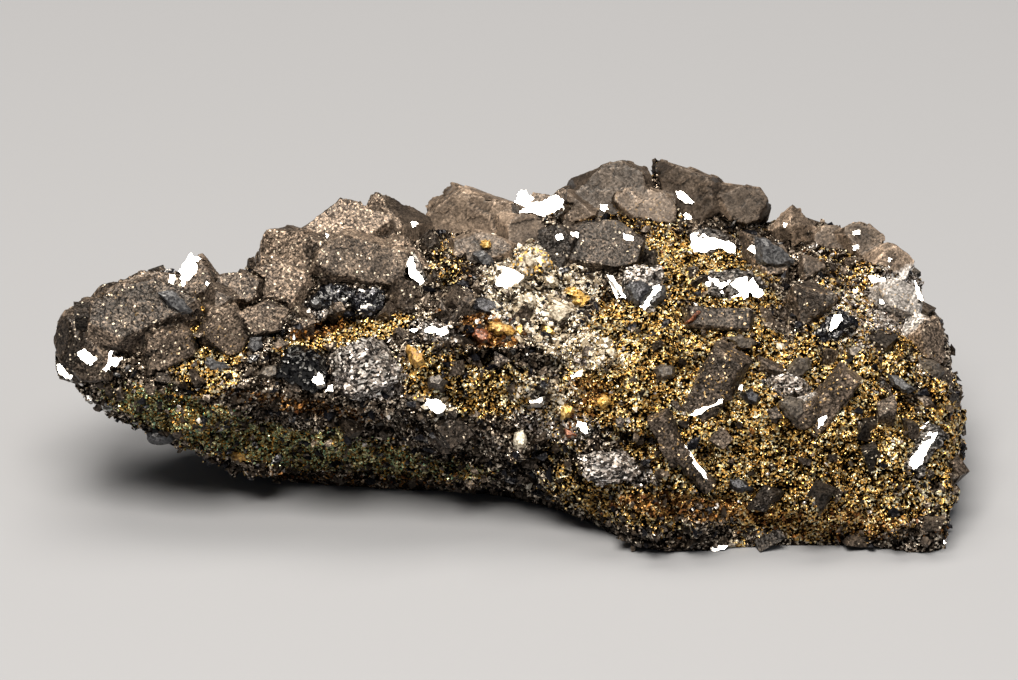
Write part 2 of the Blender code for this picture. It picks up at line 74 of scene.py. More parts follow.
RIGHT = np.array((1.0, 0.0, 0.0))
FORWARD = np.array((0.0, math.cos(ELEVATION), -math.sin(ELEVATION)))
UP = np.array((0.0, math.sin(ELEVATION), math.cos(ELEVATION)))
MIDDLE_MM = TOP_MM - PHOTO_SIZE[1] / 2 / PX_PER_MM
FOCUS = UP * MIDDLE_MM + FORWARD * FOCUS_DEPTH + FRAME_SHIFT
EYE = FOCUS - FORWARD * CAMERA_DISTANCE

# Light: degrees to the viewer's right and up, distance, size, strength, colour
WARM = (1.0, 0.93, 0.83)
LIGHTS = {
    "key_softbox": ((-8, 62), 0.9, (0.55, 0.45), 18, WARM),
    "top_softbox": ((20, 105), 0.9, (0.7, 0.4), 8, WARM),
    "side_softbox": ((75, 30), 1.1, (0.4, 0.6), 2, (1, 1, 1)),
}
FLASH_FACING = (-4, 43)  # faces that look this way mirror the key light to the viewer
ROOM_COLOUR = (0.85, 0.9, 1.0, 1)
ROOM_STRENGTH = 0.08
FLOOR_COLOUR = (0.235, 0.243, 0.262, 1)
FLOOR_SIZE = 6
FLOOR_ROUGHNESS = 0.8

# Meshes
ROCK_VOXEL = 0.49
CRYSTAL_VOXEL = 0.27
BURY = 0.7  # how far the rock is pushed in where a crystal covers it
FLATNESS = 0.72  # how much a crystal's shading follows the flat faces of its solid
CHIP = 0.45  # the deepest chips along a crystal's edges
RAGGED = 0.1  # how uneven the outlines of bright faces and small crystals are
PROUD = 0.25  # how far these stand out of the surface
SLAB_THICKNESS = 1.6
FLASH_SPREAD = 3  # degrees by which the bright faces differ in where they look
STONE_TURN = (-20, 20)  # degrees to the viewer's right that small crystals look
STONE_LIFT = (15, 45)  # and degrees up
UPPER_FACE = 0.62  # how large the upper face of a small crystal is beside its outline
CLEAR_OF_FACES = 8  # pixels between these and the blocky crystals around them

# Relief by angular shards: size, tilt of their faces, height of their steps
ROCK_SHARDS = (3.2, 0.28, 0.18)
ROCK_CHIPS = (1.3, 0.34, 0.18)
GROWTH_STEPS = (3.0, 0.09, 0.07)
BROKEN_STEPS = (2.2, 0.26, 0.16)
BROKEN_CHIPS = (0.9, 0.3, 0.16)
SILVERY_FLAKES = (1.4, 0.35, 0.2)
BLACK_SHELLS = (1.8, 0.3, 0.15)
# Relief by noise: size and height
ROCK_LUMPS = (6.0, 0.8)
CREVICES = (0.7, 0.35)
CRYSTAL_SKIN = (0.6, 0.04)

# Zones of the face, as ellipses in pixels: x, y, half width, half height, degrees of turn, strength
ZONES = {
    "gold": (
        (770, 425, 195, 100, 4, 1.0),
        (700, 268, 90, 40, 18, 0.8),
        (865, 330, 75, 60, 40, 0.7),
        (640, 355, 75, 60, 0, 0.9),
        (592, 405, 62, 36, 0, 1.0),
        (480, 388, 90, 30, 14, 0.8),
        (208, 355, 34, 42, 0, 0.75),
        (345, 335, 75, 13, -14, 0.8),
        (198, 306, 12, 20, 10, 0.7),
        (640, 215, 60, 16, 4, 0.5),
        (445, 262, 22, 22, 0, 0.4),
        (620, 500, 80, 24, 16, 0.6),
        (830, 505, 125, 34, 0, 0.8),
        (124, 305, 34, 26, -20, 0.45),
    ),
    "pale": (
        (540, 292, 50, 46, 10, 1.0),
        (560, 255, 28, 16, 20, 0.7),
        (575, 345, 45, 22, 20, 0.5),
        (545, 395, 34, 22, 10, 0.5),
        (440, 405, 12, 12, 0, 0.7),
    ),
    "rust": (
        (492, 330, 30, 16, 10, 1.0),
        (585, 400, 30, 24, 0, 0.4),
        (690, 508, 90, 14, 5, 0.5),
        (860, 525, 90, 16, 0, 0.3),
        (300, 405, 80, 10, 10, 0.4),
        (350, 480, 120, 9, 2, 0.3),
        (320, 330, 30, 8, -14, 0.6),
    ),
    "teal": (
        (200, 422, 95, 20, 17, 0.9),
        (300, 448, 110, 20, 6, 0.9),
        (410, 468, 80, 12, 2, 0.5),
    ),
    # silvery rock; on the crystals this zone also places a painted sheen
    "silver": (
        (366, 372, 36, 26, 20, 1.0),
        (618, 468, 40, 14, 16, 0.9),
        (435, 330, 28, 8, 14, 0.8),
        (335, 303, 42, 12, -18, 0.7),
        (900, 300, 34, 32, 40, 0.7),
        (790, 387, 24, 11, 20, 0.8),
        (560, 425, 60, 16, 10, 0.5),
        (860, 315, 50, 40, 30, 0.35),
    ),
}
ZONE_EDGE = 0.4  # how wide the soft edge of a zone is, beside its size
# Zones where the photograph doesn't show the rock: which side of a noise, and how much of it
UNSEEN = {
    "gold": (1, 0.1),
    "pale": (-1, -0.45),
    "rust": (-1, -0.35),
    "teal": (-1, -0.5),
    "silver": (-1, -0.4),
}
SHADE = (  # the parts that lie in brown-black shadow colours
    (290, 412, 200, 24, 8, 0.12),
    (470, 455, 150, 28, 6, 0.2),
    (508, 361, 62, 10, 4, 1.0),
    (650, 480, 60, 22, 20, 0.5),
    (600, 520, 60, 30, 30, 0.4),
    (72, 335, 15, 30, 10, 0.7),
    (690, 362, 26, 8, -30, 0.5),
    (557, 284, 9, 15, -20, 0.8),
    (476, 270, 8, 19, 0, 0.7),
    (610, 434, 26, 11, 20, 0.8),
    (562, 453, 34, 8, 5, 0.8),
    (640, 330, 26, 6, 10, 0.5),
    (425, 285, 11, 14, 0, 0.6),
)
SOFT = (  # the crystals at the back of the crest, whose skin shows little contrast
    (475, 212, 85, 42, 0, 1.0),
    (650, 190, 125, 42, 5, 1.0),
    (840, 240, 120, 42, 28, 0.7),
)
# Crystal faces that mirror the light to the viewer: their outlines in the photograph's pixels
BRIGHT_FACES = {
    "crest_flash": ((520, 191), (526, 190), (529, 196), (537, 198), (543, 201), (549, 197), (556, 195),
        (563, 199), (563, 207), (556, 210), (549, 214), (547, 218), (542, 216), (536, 213), (530, 212),
        (520, 213), (512, 218), (506, 220), (503, 216), (510, 211), (512, 205), (517, 200), (517, 194)),
    "pyramid_face": ((191, 253), (196, 258), (197, 269), (195, 277), (197, 284), (192, 282), (187, 280),
        (184, 286), (181, 283), (182, 276), (179, 271), (182, 266), (186, 262), (188, 256)),
    "pyramid_rim": ((191, 253), (202, 259), (201, 263), (196, 261), (192, 257)),
    "by_the_pyramid": ((170, 274), (175, 275), (175, 280), (172, 285), (169, 288), (168, 284)),
    "left_end_face": ((102, 337), (111, 336), (119, 339), (120, 345), (117, 351), (112, 353), (112, 358),
        (117, 358), (122, 357), (119, 362), (117, 366), (111, 365), (110, 370), (104, 372), (100, 368),
        (101, 361), (99, 354), (99, 347), (96, 344)),
    "left_end_sliver": ((79, 342), (82, 345), (87, 352), (92, 356), (97, 359), (92, 364), (87, 364),
        (83, 360), (78, 356), (77, 353), (80, 351), (78, 346)),
    "left_tip_face": ((58, 364), (63, 363), (68, 366), (72, 372), (73, 376), (70, 379), (64, 377),
        (59, 373), (57, 368)),
    "left_rim_upper": ((86, 395), (93, 396), (92, 400), (87, 399)),
    "left_rim_lower": ((101, 405), (109, 406), (112, 409), (106, 410)),
    "lens_face": ((313, 374), (319, 372), (322, 377), (325, 383), (317, 385), (312, 380)),
    "below_the_lens": ((328, 386), (333, 385), (333, 391), (325, 392)),
    "crest_speck": ((325, 233), (329, 235), (328, 239), (325, 238)),
    "step_speck": ((206, 281), (209, 283), (208, 286), (205, 284)),
    "left_bar_face": ((406, 259), (413, 257), (415, 264), (416, 270), (419, 274), (424, 281), (420, 285),
        (415, 280), (410, 276), (409, 268), (406, 265)),
    "square_face": ((505, 267), (514, 270), (524, 276), (517, 284), (515, 292), (505, 288), (496, 285),
        (497, 278), (502, 274)),
    "silver_left_edge": ((607, 274), (613, 276), (619, 285), (624, 291), (628, 297), (633, 302), (637, 309),
        (636, 313), (628, 310), (623, 305), (619, 298), (622, 296), (617, 288), (610, 280)),
    "silver_right_edge": ((637, 313), (638, 308), (642, 304), (647, 300), (646, 293), (653, 287),
        (658, 285), (661, 287), (656, 293), (652, 299), (647, 307), (642, 311)),
    "streak": ((409, 330), (421, 327), (432, 326), (440, 329), (447, 327), (448, 333), (442, 335),
        (438, 340), (433, 338), (434, 333), (423, 333), (424, 338), (420, 337), (416, 333)),
    "right_crest_upper": ((676, 191), (683, 192), (694, 202), (686, 203), (678, 198)),
    "right_crest_lower": ((682, 215), (690, 211), (692, 219), (685, 221)),
    "middle_crest": ((600, 204), (608, 205), (607, 211), (601, 210)),
    "ledge_left": ((556, 235), (562, 234), (563, 239), (557, 240)),
    "ledge_middle": ((571, 232), (579, 233), (578, 238), (573, 237)),
    "ledge_right": ((623, 233), (634, 237), (632, 241), (624, 239)),
    "upper_plate": ((691, 234), (698, 232), (706, 236), (717, 239), (729, 241), (735, 246), (735, 252),
        (730, 253), (722, 248), (710, 249), (700, 255), (694, 252), (691, 245)),
    "lower_plate": ((707, 276), (715, 279), (722, 281), (731, 280), (745, 277), (746, 271), (751, 271),
        (753, 279), (758, 286), (763, 292), (762, 296), (756, 297), (751, 292), (746, 298), (739, 303),
        (733, 301), (731, 296), (724, 294), (715, 289), (705, 285)),
    "by_the_grey_crystal": ((752, 245), (756, 246), (756, 254), (747, 249)),
    "right_white_bar": ((929, 432), (937, 432), (935, 438), (929, 447), (926, 455), (922, 464), (913, 469),
        (909, 464), (911, 458), (919, 449), (922, 441)),
    "above_the_white_bar": ((920, 428), (929, 421), (924, 430)),
    "slanted_bar_tip": ((834, 315), (841, 314), (843, 319), (836, 328), (830, 331)),
    "shoulder_face": ((864, 276), (878, 275), (886, 280), (886, 287), (876, 291), (874, 285), (866, 281)),
    "right_edge_face": ((915, 280), (919, 287), (923, 301), (918, 299)),
    "blade_streak": ((683, 443), (692, 455), (706, 473), (707, 479), (699, 471), (688, 455)),
    "large_bar_foot": ((690, 415), (700, 409), (713, 405), (723, 399), (721, 403), (704, 411), (694, 416)),
    "flake_a": ((525, 398), (535, 400), (545, 396), (540, 403), (530, 403)),
    "flake_b": ((570, 376), (583, 370), (582, 376), (574, 377)),
    "flake_c": ((578, 421), (585, 422), (590, 428), (588, 433), (581, 431)),
    "flake_d": ((426, 398), (436, 399), (446, 406), (440, 413), (431, 410), (426, 405)),
    "flake_e": ((738, 384), (743, 384), (741, 392), (738, 390)),
    "flake_f": ((821, 415), (826, 414), (823, 425), (818, 429)),
    "crest_dot_a": ((783, 224), (787, 223), (787, 227), (784, 227)),
    "crest_dot_b": ((803, 211), (806, 212), (805, 215), (802, 214)),
    "crest_dot_c": ((852, 246), (858, 245), (859, 249), (853, 250)),
    "crest_dot_d": ((852, 232), (859, 230), (860, 234), (854, 235)),
    "crest_dot_e": ((888, 258), (892, 259), (890, 262)),
    "crest_dot_f": ((854, 289), (858, 289), (857, 293), (853, 292)),
    "crest_dot_g": ((880, 299), (885, 300), (884, 304), (880, 303)),
    "crest_dot_h": ((411, 222), (416, 222), (416, 226), (412, 226)),
    "bottom_edge_a": ((708, 547), (722, 544), (728, 546), (716, 551)),
    "bottom_edge_b": ((942, 538), (946, 537), (946, 543), (943, 543)),
}

# Small crystals that stand out by their colour, by kind: how far they stand out in mm, outline
STONES = {
    "gold": (
        (0.9, ((569, 288), (577, 289), (585, 293), (595, 294), (595, 300), (587, 303), (583, 308),
            (580, 309), (577, 305), (572, 305), (572, 298), (566, 293))),
        (0.6, ((543, 325), (550, 327), (556, 333), (548, 336), (542, 331))),
        (0.6, ((516, 326), (523, 325), (524, 334), (519, 337), (514, 332))),
        (0.7, ((560, 408), (568, 402), (574, 408), (570, 417), (562, 416))),
        (0.6, ((597, 398), (606, 395), (610, 402), (602, 409), (596, 405))),
        (0.6, ((483, 241), (490, 240), (491, 247), (484, 249), (480, 245))),
    ),
    "ochre": (
        (0.9, ((407, 345), (412, 347), (419, 351), (425, 356), (423, 365), (416, 368), (409, 360))),
        (0.6, ((488, 322), (500, 322), (513, 327), (512, 335), (500, 335), (490, 331))),
        (0.5, ((234, 452), (245, 453), (249, 460), (240, 463), (234, 458))),
    ),
    "rust": (
        (0.7, ((473, 328), (484, 329), (492, 336), (490, 343), (480, 342), (472, 336))),
        (0.6, ((689, 320), (697, 311), (700, 313), (693, 322), (684, 325))),
        (0.5, ((564, 429), (571, 430), (577, 436), (570, 438), (565, 435))),
    ),
    "cream": (
        (0.8, ((521, 295), (528, 292), (536, 296), (536, 304), (529, 308), (522, 303))),
        (0.9, ((548, 309), (556, 305), (566, 306), (571, 312), (566, 320), (559, 325), (551, 319))),
        (0.7, ((543, 275), (549, 274), (557, 279), (558, 286), (550, 287), (545, 282))),
        (0.7, ((524, 254), (532, 255), (537, 262), (532, 269), (525, 265))),
        (0.8, ((514, 432), (519, 425), (525, 428), (527, 440), (524, 453), (517, 450), (513, 442))),
        (0.6, ((776, 343), (784, 344), (785, 351), (779, 354), (774, 349))),
        (0.6, ((600, 338), (609, 336), (612, 343), (604, 346))),
    ),
    "grey": (
        (0.9, ((756, 237), (770, 241), (777, 246), (789, 255), (795, 261), (789, 267), (775, 269),
            (763, 267), (756, 261), (755, 248))),
        (0.9, ((653, 285), (665, 285), (665, 297), (656, 306), (646, 309), (650, 296))),
        (0.7, ((626, 285), (633, 282), (634, 292), (641, 300), (638, 306), (630, 296))),
        (0.7, ((206, 358), (222, 362), (231, 368), (222, 373), (208, 370), (203, 364))),
        (0.7, ((250, 338), (262, 337), (264, 348), (255, 354), (247, 348))),
        (0.7, ((158, 293), (172, 291), (184, 300), (193, 311), (182, 315), (168, 307))),
        (0.6, ((143, 424), (150, 428), (160, 431), (172, 429), (175, 432), (168, 440), (158, 442),
            (147, 439))),
        (0.6, ((309, 300), (319, 298), (322, 303), (317, 308), (311, 305))),
        (0.7, ((473, 254), (484, 251), (494, 262), (490, 270), (480, 264))),
        (0.6, ((886, 372), (904, 378), (916, 390), (908, 394), (892, 385))),
    ),
    "black": (
        (0.4, ((622, 283), (640, 280), (652, 286), (646, 294), (640, 303), (634, 298), (628, 291))),
        (0.9, ((470, 300), (482, 297), (500, 304), (507, 315), (498, 319), (484, 316), (473, 310))),
        (0.8, ((741, 392), (752, 388), (761, 398), (757, 406), (746, 402))),
        (0.7, ((726, 477), (744, 480), (754, 488), (742, 492), (728, 485))),
    ),
    "brown": (
        (0.9, ((262, 368), (278, 364), (281, 376), (268, 381), (256, 376))),
        (0.9, ((787, 372), (797, 360), (808, 356), (812, 368), (802, 377), (790, 380))),
        (0.9, ((781, 402), (794, 397), (805, 402), (806, 413), (796, 424), (785, 417))),
        (0.9, ((918, 357), (932, 362), (942, 372), (938, 380), (924, 372), (914, 364))),
        (0.9, ((727, 338), (742, 335), (756, 341), (752, 350), (738, 350))),
        (0.9, ((653, 369), (664, 363), (675, 368), (673, 378), (660, 381))),
        (0.9, ((427, 378), (441, 374), (448, 381), (441, 389), (428, 387))),
        (0.8, ((846, 348), (860, 346), (870, 353), (862, 361), (849, 358))),
    ),
}


def direction(right, up):
    """The unit vector that looks these degrees to the viewer's right and up."""
    a = math.radians(right)
    e = math.radians(up)
    return np.array((math.sin(a) * math.cos(e), -math.cos(a) * math.cos(e), math.sin(e)))


def photo_place(points):
    """Where points in millimetres lie in the photograph, in pixels."""
    rays = points - EYE
    scale = PX_PER_MM * CAMERA_DISTANCE / (rays @ FORWARD)
    x = PHOTO_SIZE[0] / 2 + scale * (rays @ RIGHT)
    y = PHOTO_SIZE[1] / 2 - scale * (rays @ UP)
    return x, y


# Noise over many points at once

def hashed(corners, seed, count):
    """count random numbers from 0 to 1 for each whole-number corner."""
    mixed = np.array((73856093, 19349663, 83492791), dtype=np.uint64)
    base = (corners.astype(np.int64).astype(np.uint64) * mixed).sum(axis=-1)
    numbers = []
    for number in range(count):
        h = (base + np.uint64(1013904223 * (seed * 16 + number + 1))) & np.uint64(0xFFFFFFFF)
        for shift, factor in ((16, 0x7FEB352D), (15, 0x846CA68B)):
            h = ((h ^ (h >> np.uint64(shift))) * np.uint64(factor)) & np.uint64(0xFFFFFFFF)
        h ^= h >> np.uint64(16)
        numbers.append(h / 4294967295.0)
    return np.stack(numbers, axis=-1)


def smooth_noise(points, size, seed):
    """Smooth noise from 0 to 1 with features of about that size."""
    q = points / size
    corner = np.floor(q)
    t = q - corner
    t = t * t * (3 - 2 * t)
    total = np.zeros(len(points))
    for step in np.ndindex(2, 2, 2):
        step = np.array(step)
        weight = np.where(step, t, 1 - t).prod(axis=1)
        total += weight * hashed(corner + step, seed, 1)[:, 0]
    return total


def fractal(points, size, seed, octaves=3):
    """Noise of several sizes added up, from about -1 to 1."""
    total = np.zeros(len(points))
    for octave in range(octaves):
        total += (smooth_noise(points, size / 2**octave, seed + octave) - 0.5) / 1.8**octave
    return total


def jostled(points, amount, size, seed):
    """The points, pushed about by noise."""
    return points + amount * fractal(points, size, seed)[:, None]


def cells(points, size, seed):
    """The random cell that each point is in: its middle, four random numbers, and how far the
    point is from the nearest middle and from the second nearest."""
    q = points / size
    base = np.floor(q)
    first = np.full(len(points), np.inf)
    second = np.full(len(points), np.inf)
    middle = np.zeros_like(points)
    corner = np.zeros_like(points)
    for step in np.ndindex(3, 3, 3):
        at = base + (np.array(step) - 1)
        seedling = at + hashed(at, seed, 3)
        distance = np.linalg.norm(q - seedling, axis=1)
        closer = distance < first
        second = np.where(closer, first, np.minimum(second, distance))
        middle[closer] = seedling[closer]
        corner[closer] = at[closer]
        first = np.minimum(first, distance)
    return middle * size, hashed(corner, seed + 1, 4), first * size, second * size


def shards(points, size, tilt, step, seed):
    """Relief of angular shards: each cell is a flat face with a tilt and a height of its own."""
    middle, numbers, _, _ = cells(points, size, seed)
    leaning = numbers[:, :3] * 2 - 1
    flat = ((points - middle) * leaning).sum(axis=1)
    return tilt * flat + step * size * (numbers[:, 3] - 0.5)


def in_zone(x, y, ellipses, ragged):
    """How strongly each place lies in the ellipses, 0 to 1; ragged pushes their edges about."""
    found = np.zeros(len(x))
    for middle_x, middle_y, half_w, half_h, turn, strength in ellipses:
        a = math.radians(turn)
        dx = x - middle_x
        dy = y - middle_y
        along = (dx * math.cos(a) + dy * math.sin(a)) / half_w
        across = (-dx * math.sin(a) + dy * math.cos(a)) / half_h
        reach = np.hypot(along, across) + ragged
        inside = np.clip((1 + ZONE_EDGE / 2 - reach) / ZONE_EDGE, 0, 1)
        found = np.maximum(found, strength * inside)
    return found


# Meshes

def arrays_of(mesh):
    """A mesh's vertices in millimetres, its vertex normals and its edges."""
    count = len(mesh.vertices)
    places = np.empty(count * 3)
    normals = np.empty(count * 3)
    edges = np.empty(len(mesh.edges) * 2, dtype=np.int64)
    mesh.vertices.foreach_get("co", places)
    mesh.vertices.foreach_get("normal", normals)
    mesh.edges.foreach_get("vertices", edges)
    return places.reshape(-1, 3) / MM, normals.reshape(-1, 3), edges.reshape(-1, 2)


def set_places(mesh, places):
    """Moves a mesh's vertices, kept inside the CAD model's box."""
    low = np.array(CAD_BOX[0]) / MM
    high = np.array(CAD_BOX[1]) / MM
    kept = np.clip(places, low, high) * MM
    mesh.vertices.foreach_set("co", kept.ravel())
    mesh.update()


def set_numbers(mesh, name, numbers):
    """Stores one number for each vertex."""
    layer = mesh.attributes.new(name, "FLOAT", "POINT")
    layer.data.foreach_set("value", np.asarray(numbers, dtype=np.float32))


def placed(name, data):
    """A new object in the scene that shows a mesh, light or camera."""
    made = bpy.data.objects.new(name, data)
    bpy.context.scene.collection.objects.link(made)
    return made


def tree_of(meshes):
    """A search tree over the surfaces of meshes."""
    joined = bmesh.new()
    for mesh in meshes:
        joined.from_mesh(mesh)
    tree = BVHTree.FromBMesh(joined)
    joined.free()
    return tree


def remeshed(name, nodes, voxel):
    """A new object: the nodes' CAD solids grown together into one even, fine mesh."""
    joined = bmesh.new()
    for node in nodes:
        joined.from_mesh(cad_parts[node].data)
    bmesh.ops.remove_doubles(joined, verts=joined.verts[:], dist=1e-7)
    mesh = bpy.data.meshes.new(name)
    joined.to_mesh(mesh)
    joined.free()
    piece = placed(name, mesh)
    modifier = piece.modifiers.new("remesh", "REMESH")
    modifier.mode = "VOXEL"
    modifier.voxel_size = voxel * MM
    graph = bpy.context.evaluated_depsgraph_get()
    fine = bpy.data.meshes.new_from_object(piece.evaluated_get(graph))
    piece.modifiers.clear()
    piece.data = fine
    fine.shade_smooth()
    return piece


def add_neighbours(total, count, values, edges):
    """Adds to each vertex's total the values of its neighbours, and counts them."""
    for here, there in ((0, 1), (1, 0)):
        np.add.at(total, edges[:, here], values[edges[:, there]])
        np.add.at(count, edges[:, here], 1)


def convexity(places, normals, edges):
    """How far each vertex stands out from its neighbours, about -1 to 1."""
    total = np.zeros_like(places)
    count = np.zeros(len(places))
    add_neighbours(total, count, places, edges)
    lean = ((places - total / count[:, None]) * normals).sum(axis=1)
    return np.clip(lean / (lean.std() * 2.5), -1, 1)


def ride_on(piece, material):
    """Finishes a piece: its material and the body that carries it."""
    piece.data.materials.clear()
    piece.data.materials.append(material)
    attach(piece, "root")


# Materials

class Shader:
    """Writes a material's nodes in short lines."""

    def __init__(self, name):
        self.material = bpy.data.materials.new(name)
        self.material.use_nodes = True
        self.nodes = self.material.node_tree.nodes
        self.links = self.material.node_tree.links
        self.surface = self.nodes["Principled BSDF"]
        place = self.node("ShaderNodeTexCoord").outputs["Object"]
        self.place = self.vector("SCALE", place, scale=1 / MM)

    def plug(self, socket, value):
        if isinstance(value, bpy.types.NodeSocket):
            self.links.new(value, socket)
        elif isinstance(value, tuple) and len(value) == 3 and socket.type == "RGBA":
            socket.default_value = (*value, 1)
        else:
            socket.default_value = value

    def node(self, kind, inputs=None, **settings):
        made = self.nodes.new(kind)
        for key, value in settings.items():
            setattr(made, key, value)
        for key, value in (inputs or {}).items():
            self.plug(made.inputs[key], value)
        return made

    def math(self, operation, first, second=0.0, clamp=False):
        inputs = {0: first, 1: second}
        made = self.node("ShaderNodeMath", inputs, operation=operation, use_clamp=clamp)
        return made.outputs[0]

    def times(self, first, second):
        return self.math("MULTIPLY", first, second)

    def plus(self, first, second, clamp=False):
        return self.math("ADD", first, second, clamp)

    def vector(self, operation, first, second=None, scale=None):
        inputs = {0: first}
        if second is not None:
            inputs[1] = second
        if scale is not None:
            inputs["Scale"] = scale
        made = self.node("ShaderNodeVectorMath", inputs, operation=operation)
        return made.outputs["Vector"]

    def number(self, name):
        """A number stored on the vertices."""
        return self.node("ShaderNodeAttribute", attribute_name=name).outputs["Fac"]

    def noise(self, size, detail=2.0, place=None, rough=0.5, output="Fac"):
        inputs = {"Vector": place or self.place, "Scale": 1 / size, "Detail": detail,
                  "Roughness": rough}
        return self.node("ShaderNodeTexNoise", inputs).outputs[output]

    def grains(self, size, place=None):
        """Random cells of that size: a colour for each, and the distance from its middle."""
        inputs = {"Vector": place or self.place, "Scale": 1 / size}
        return self.node("ShaderNodeTexVoronoi", inputs)

    def split(self, grain):
        """Three random numbers for each grain."""
        return self.node("ShaderNodeSeparateColor", {0: grain.outputs["Color"]}).outputs[:3]

    def speckle(self, size, warp_size, warp):
        """Grains of uneven outline, and three random numbers for each."""
        grain = self.grains(size, self.warped(warp_size, warp))
        return grain, *self.split(grain)

    def ramp(self, factor, stops, mode="LINEAR"):
        made = self.node("ShaderNodeValToRGB", {"Fac": factor})
        ramp = made.color_ramp
        ramp.interpolation = mode
        while len(ramp.elements) < len(stops):
            ramp.elements.new(1.0)
        for element, (place, colour) in zip(ramp.elements, stops):
            element.position = place
            element.color = (*colour, 1)
        return made.outputs["Color"]

    def range(self, value, low, high, to_low=0.0, to_high=1.0):
        inputs = {0: value, 1: low, 2: high, 3: to_low, 4: to_high}
        return self.node("ShaderNodeMapRange", inputs).outputs[0]

    def hollow_shaded_edge_lit(self, colour, low, high, dark, light, tone=None):
        """A colour with painted shade in hollows and a painted highlight on edges, times the piece's tone.
        """
        factor = self.range(self.number("hollow_shade_and_edge_light"), low, high, dark, light)
        if tone is not None:
            factor = self.math("MULTIPLY", factor, tone)
        return self.vector("SCALE", colour, scale=factor)

    def mix(self, factor, first, second):
        made = self.node("ShaderNodeMix", data_type="RGBA")
        self.plug(made.inputs["Factor"], factor)
        self.plug(made.inputs[6], first)
        self.plug(made.inputs[7], second)
        return made.outputs[2]

    def warped(self, size, amount):
        """The place, pushed about by noise, so that cells get uneven outlines."""
        push = self.vector("SUBTRACT", self.noise(size, output="Color"), (0.5, 0.5, 0.5))
        return self.vector("ADD", self.place, self.vector("SCALE", push, scale=amount))

    def tilted(self, grain, amount):
        """The surface normal, turned in each grain by its own random amount."""
        normal = self.node("ShaderNodeNewGeometry").outputs["Normal"]
        lean = self.vector("SUBTRACT", grain.outputs["Color"], (0.5, 0.5, 0.5))
        turned = self.vector("ADD", normal, self.vector("SCALE", lean, scale=amount))
        return self.vector("NORMALIZE", turned)

    def bump(self, height, strength, depth, normal):
        inputs = {"Height": height, "Strength": strength, "Distance": depth * MM, "Normal": normal}
        return self.node("ShaderNodeBump", inputs).outputs["Normal"]

    def finish(self, colour, roughness, metallic, normal, specular=0.5):
        looks = {"Base Color": colour, "Roughness": roughness, "Metallic": metallic,
                 "Normal": normal, "Specular IOR Level": specular}
        for name, value in looks.items():
            self.plug(self.surface.inputs[name], value)
        return self.material


def rock_material():
    """Granular rock: near-black, with gold, pale, rusty, teal and silvery zones."""
    s = Shader("granular_rock_looks")
    grain, r, g, b = s.speckle(0.26, 0.5, 0.25)
    coarse = s.speckle(0.6, 0.9, 0.6)[1]
    patch = s.noise(3.0, 3.0)
    pick = s.plus(r, s.range(coarse, 0, 1, -0.22, 0.22))
    pick = s.plus(pick, s.range(patch, 0.3, 0.7, -0.14, 0.12), clamp=True)
    zones = {  # the colours of each zone's grains, from the darkest to the lightest
        "teal": ((0.0, (0.003, 0.002, 0.001)), (0.3, (0.02, 0.016, 0.006)), (0.48, (0.13, 0.10, 0.035)),
                 (0.62, (0.5, 0.25, 0.05)), (0.76, (0.13, 0.3, 0.2)), (0.9, (1.0, 0.9, 0.5))),
        "gold": ((0.0, (0.001, 0.0006, 0.0003)), (0.46, (0.005, 0.003, 0.001)), (0.56, (0.22, 0.11, 0.026)),
                 (0.67, (0.82, 0.46, 0.11)), (0.8, (1.0, 0.72, 0.26)), (0.93, (1.0, 0.93, 0.66))),
        "rust": ((0.0, (0.004, 0.002, 0.001)), (0.4, (0.04, 0.016, 0.005)), (0.75, (0.2, 0.09, 0.022)),
                 (0.95, (0.65, 0.36, 0.12))),
        "silver": ((0.0, (0.004, 0.0035, 0.003)), (0.34, (0.035, 0.03, 0.026)), (0.52, (0.2, 0.165, 0.145)),
                   (0.72, (0.6, 0.52, 0.47)), (0.87, (1.0, 0.95, 0.9))),
        "pale": ((0.0, (0.004, 0.003, 0.002)), (0.3, (0.045, 0.032, 0.018)), (0.48, (0.33, 0.25, 0.15)),
                 (0.68, (0.78, 0.66, 0.48)), (0.87, (1.0, 0.96, 0.87))),
    }
    colour = s.ramp(pick, ((0.0, (0.001, 0.0008, 0.0006)), (0.38, (0.010, 0.0075, 0.0055)),
                           (0.6, (0.07, 0.052, 0.038)), (0.8, (0.24, 0.185, 0.14)),
                           (0.93, (0.95, 0.83, 0.68))))
    for name, stops in zones.items():
        share = s.range(s.plus(s.number(name), s.times(b, 0.5)), 0.55, 0.75)
        colour = s.mix(share, colour, s.ramp(pick, stops))
    # painted shade: darker in the shade zones and in hollows, a little lighter on edges
    darker = s.range(s.number("shade"), 0, 1, 1.0, 0.15)
    hollow_shaded_edge_lit = s.range(s.number("hollow_shade_and_edge_light"), -0.7, 0.3, 0.3, 1.05)
    colour = s.vector("SCALE", colour, scale=s.times(darker, hollow_shaded_edge_lit))
    metallic = s.range(pick, 0.3, 0.6, 0.2, 0.85)
    normal = s.bump(grain.outputs["Distance"], 0.8, 0.15, s.tilted(grain, 1.5))
    specular = s.range(pick, 0.4, 0.8, 0.0, 0.5)
    return s.finish(colour, s.range(g, 0, 1, 0.2, 0.6), metallic, normal, specular)


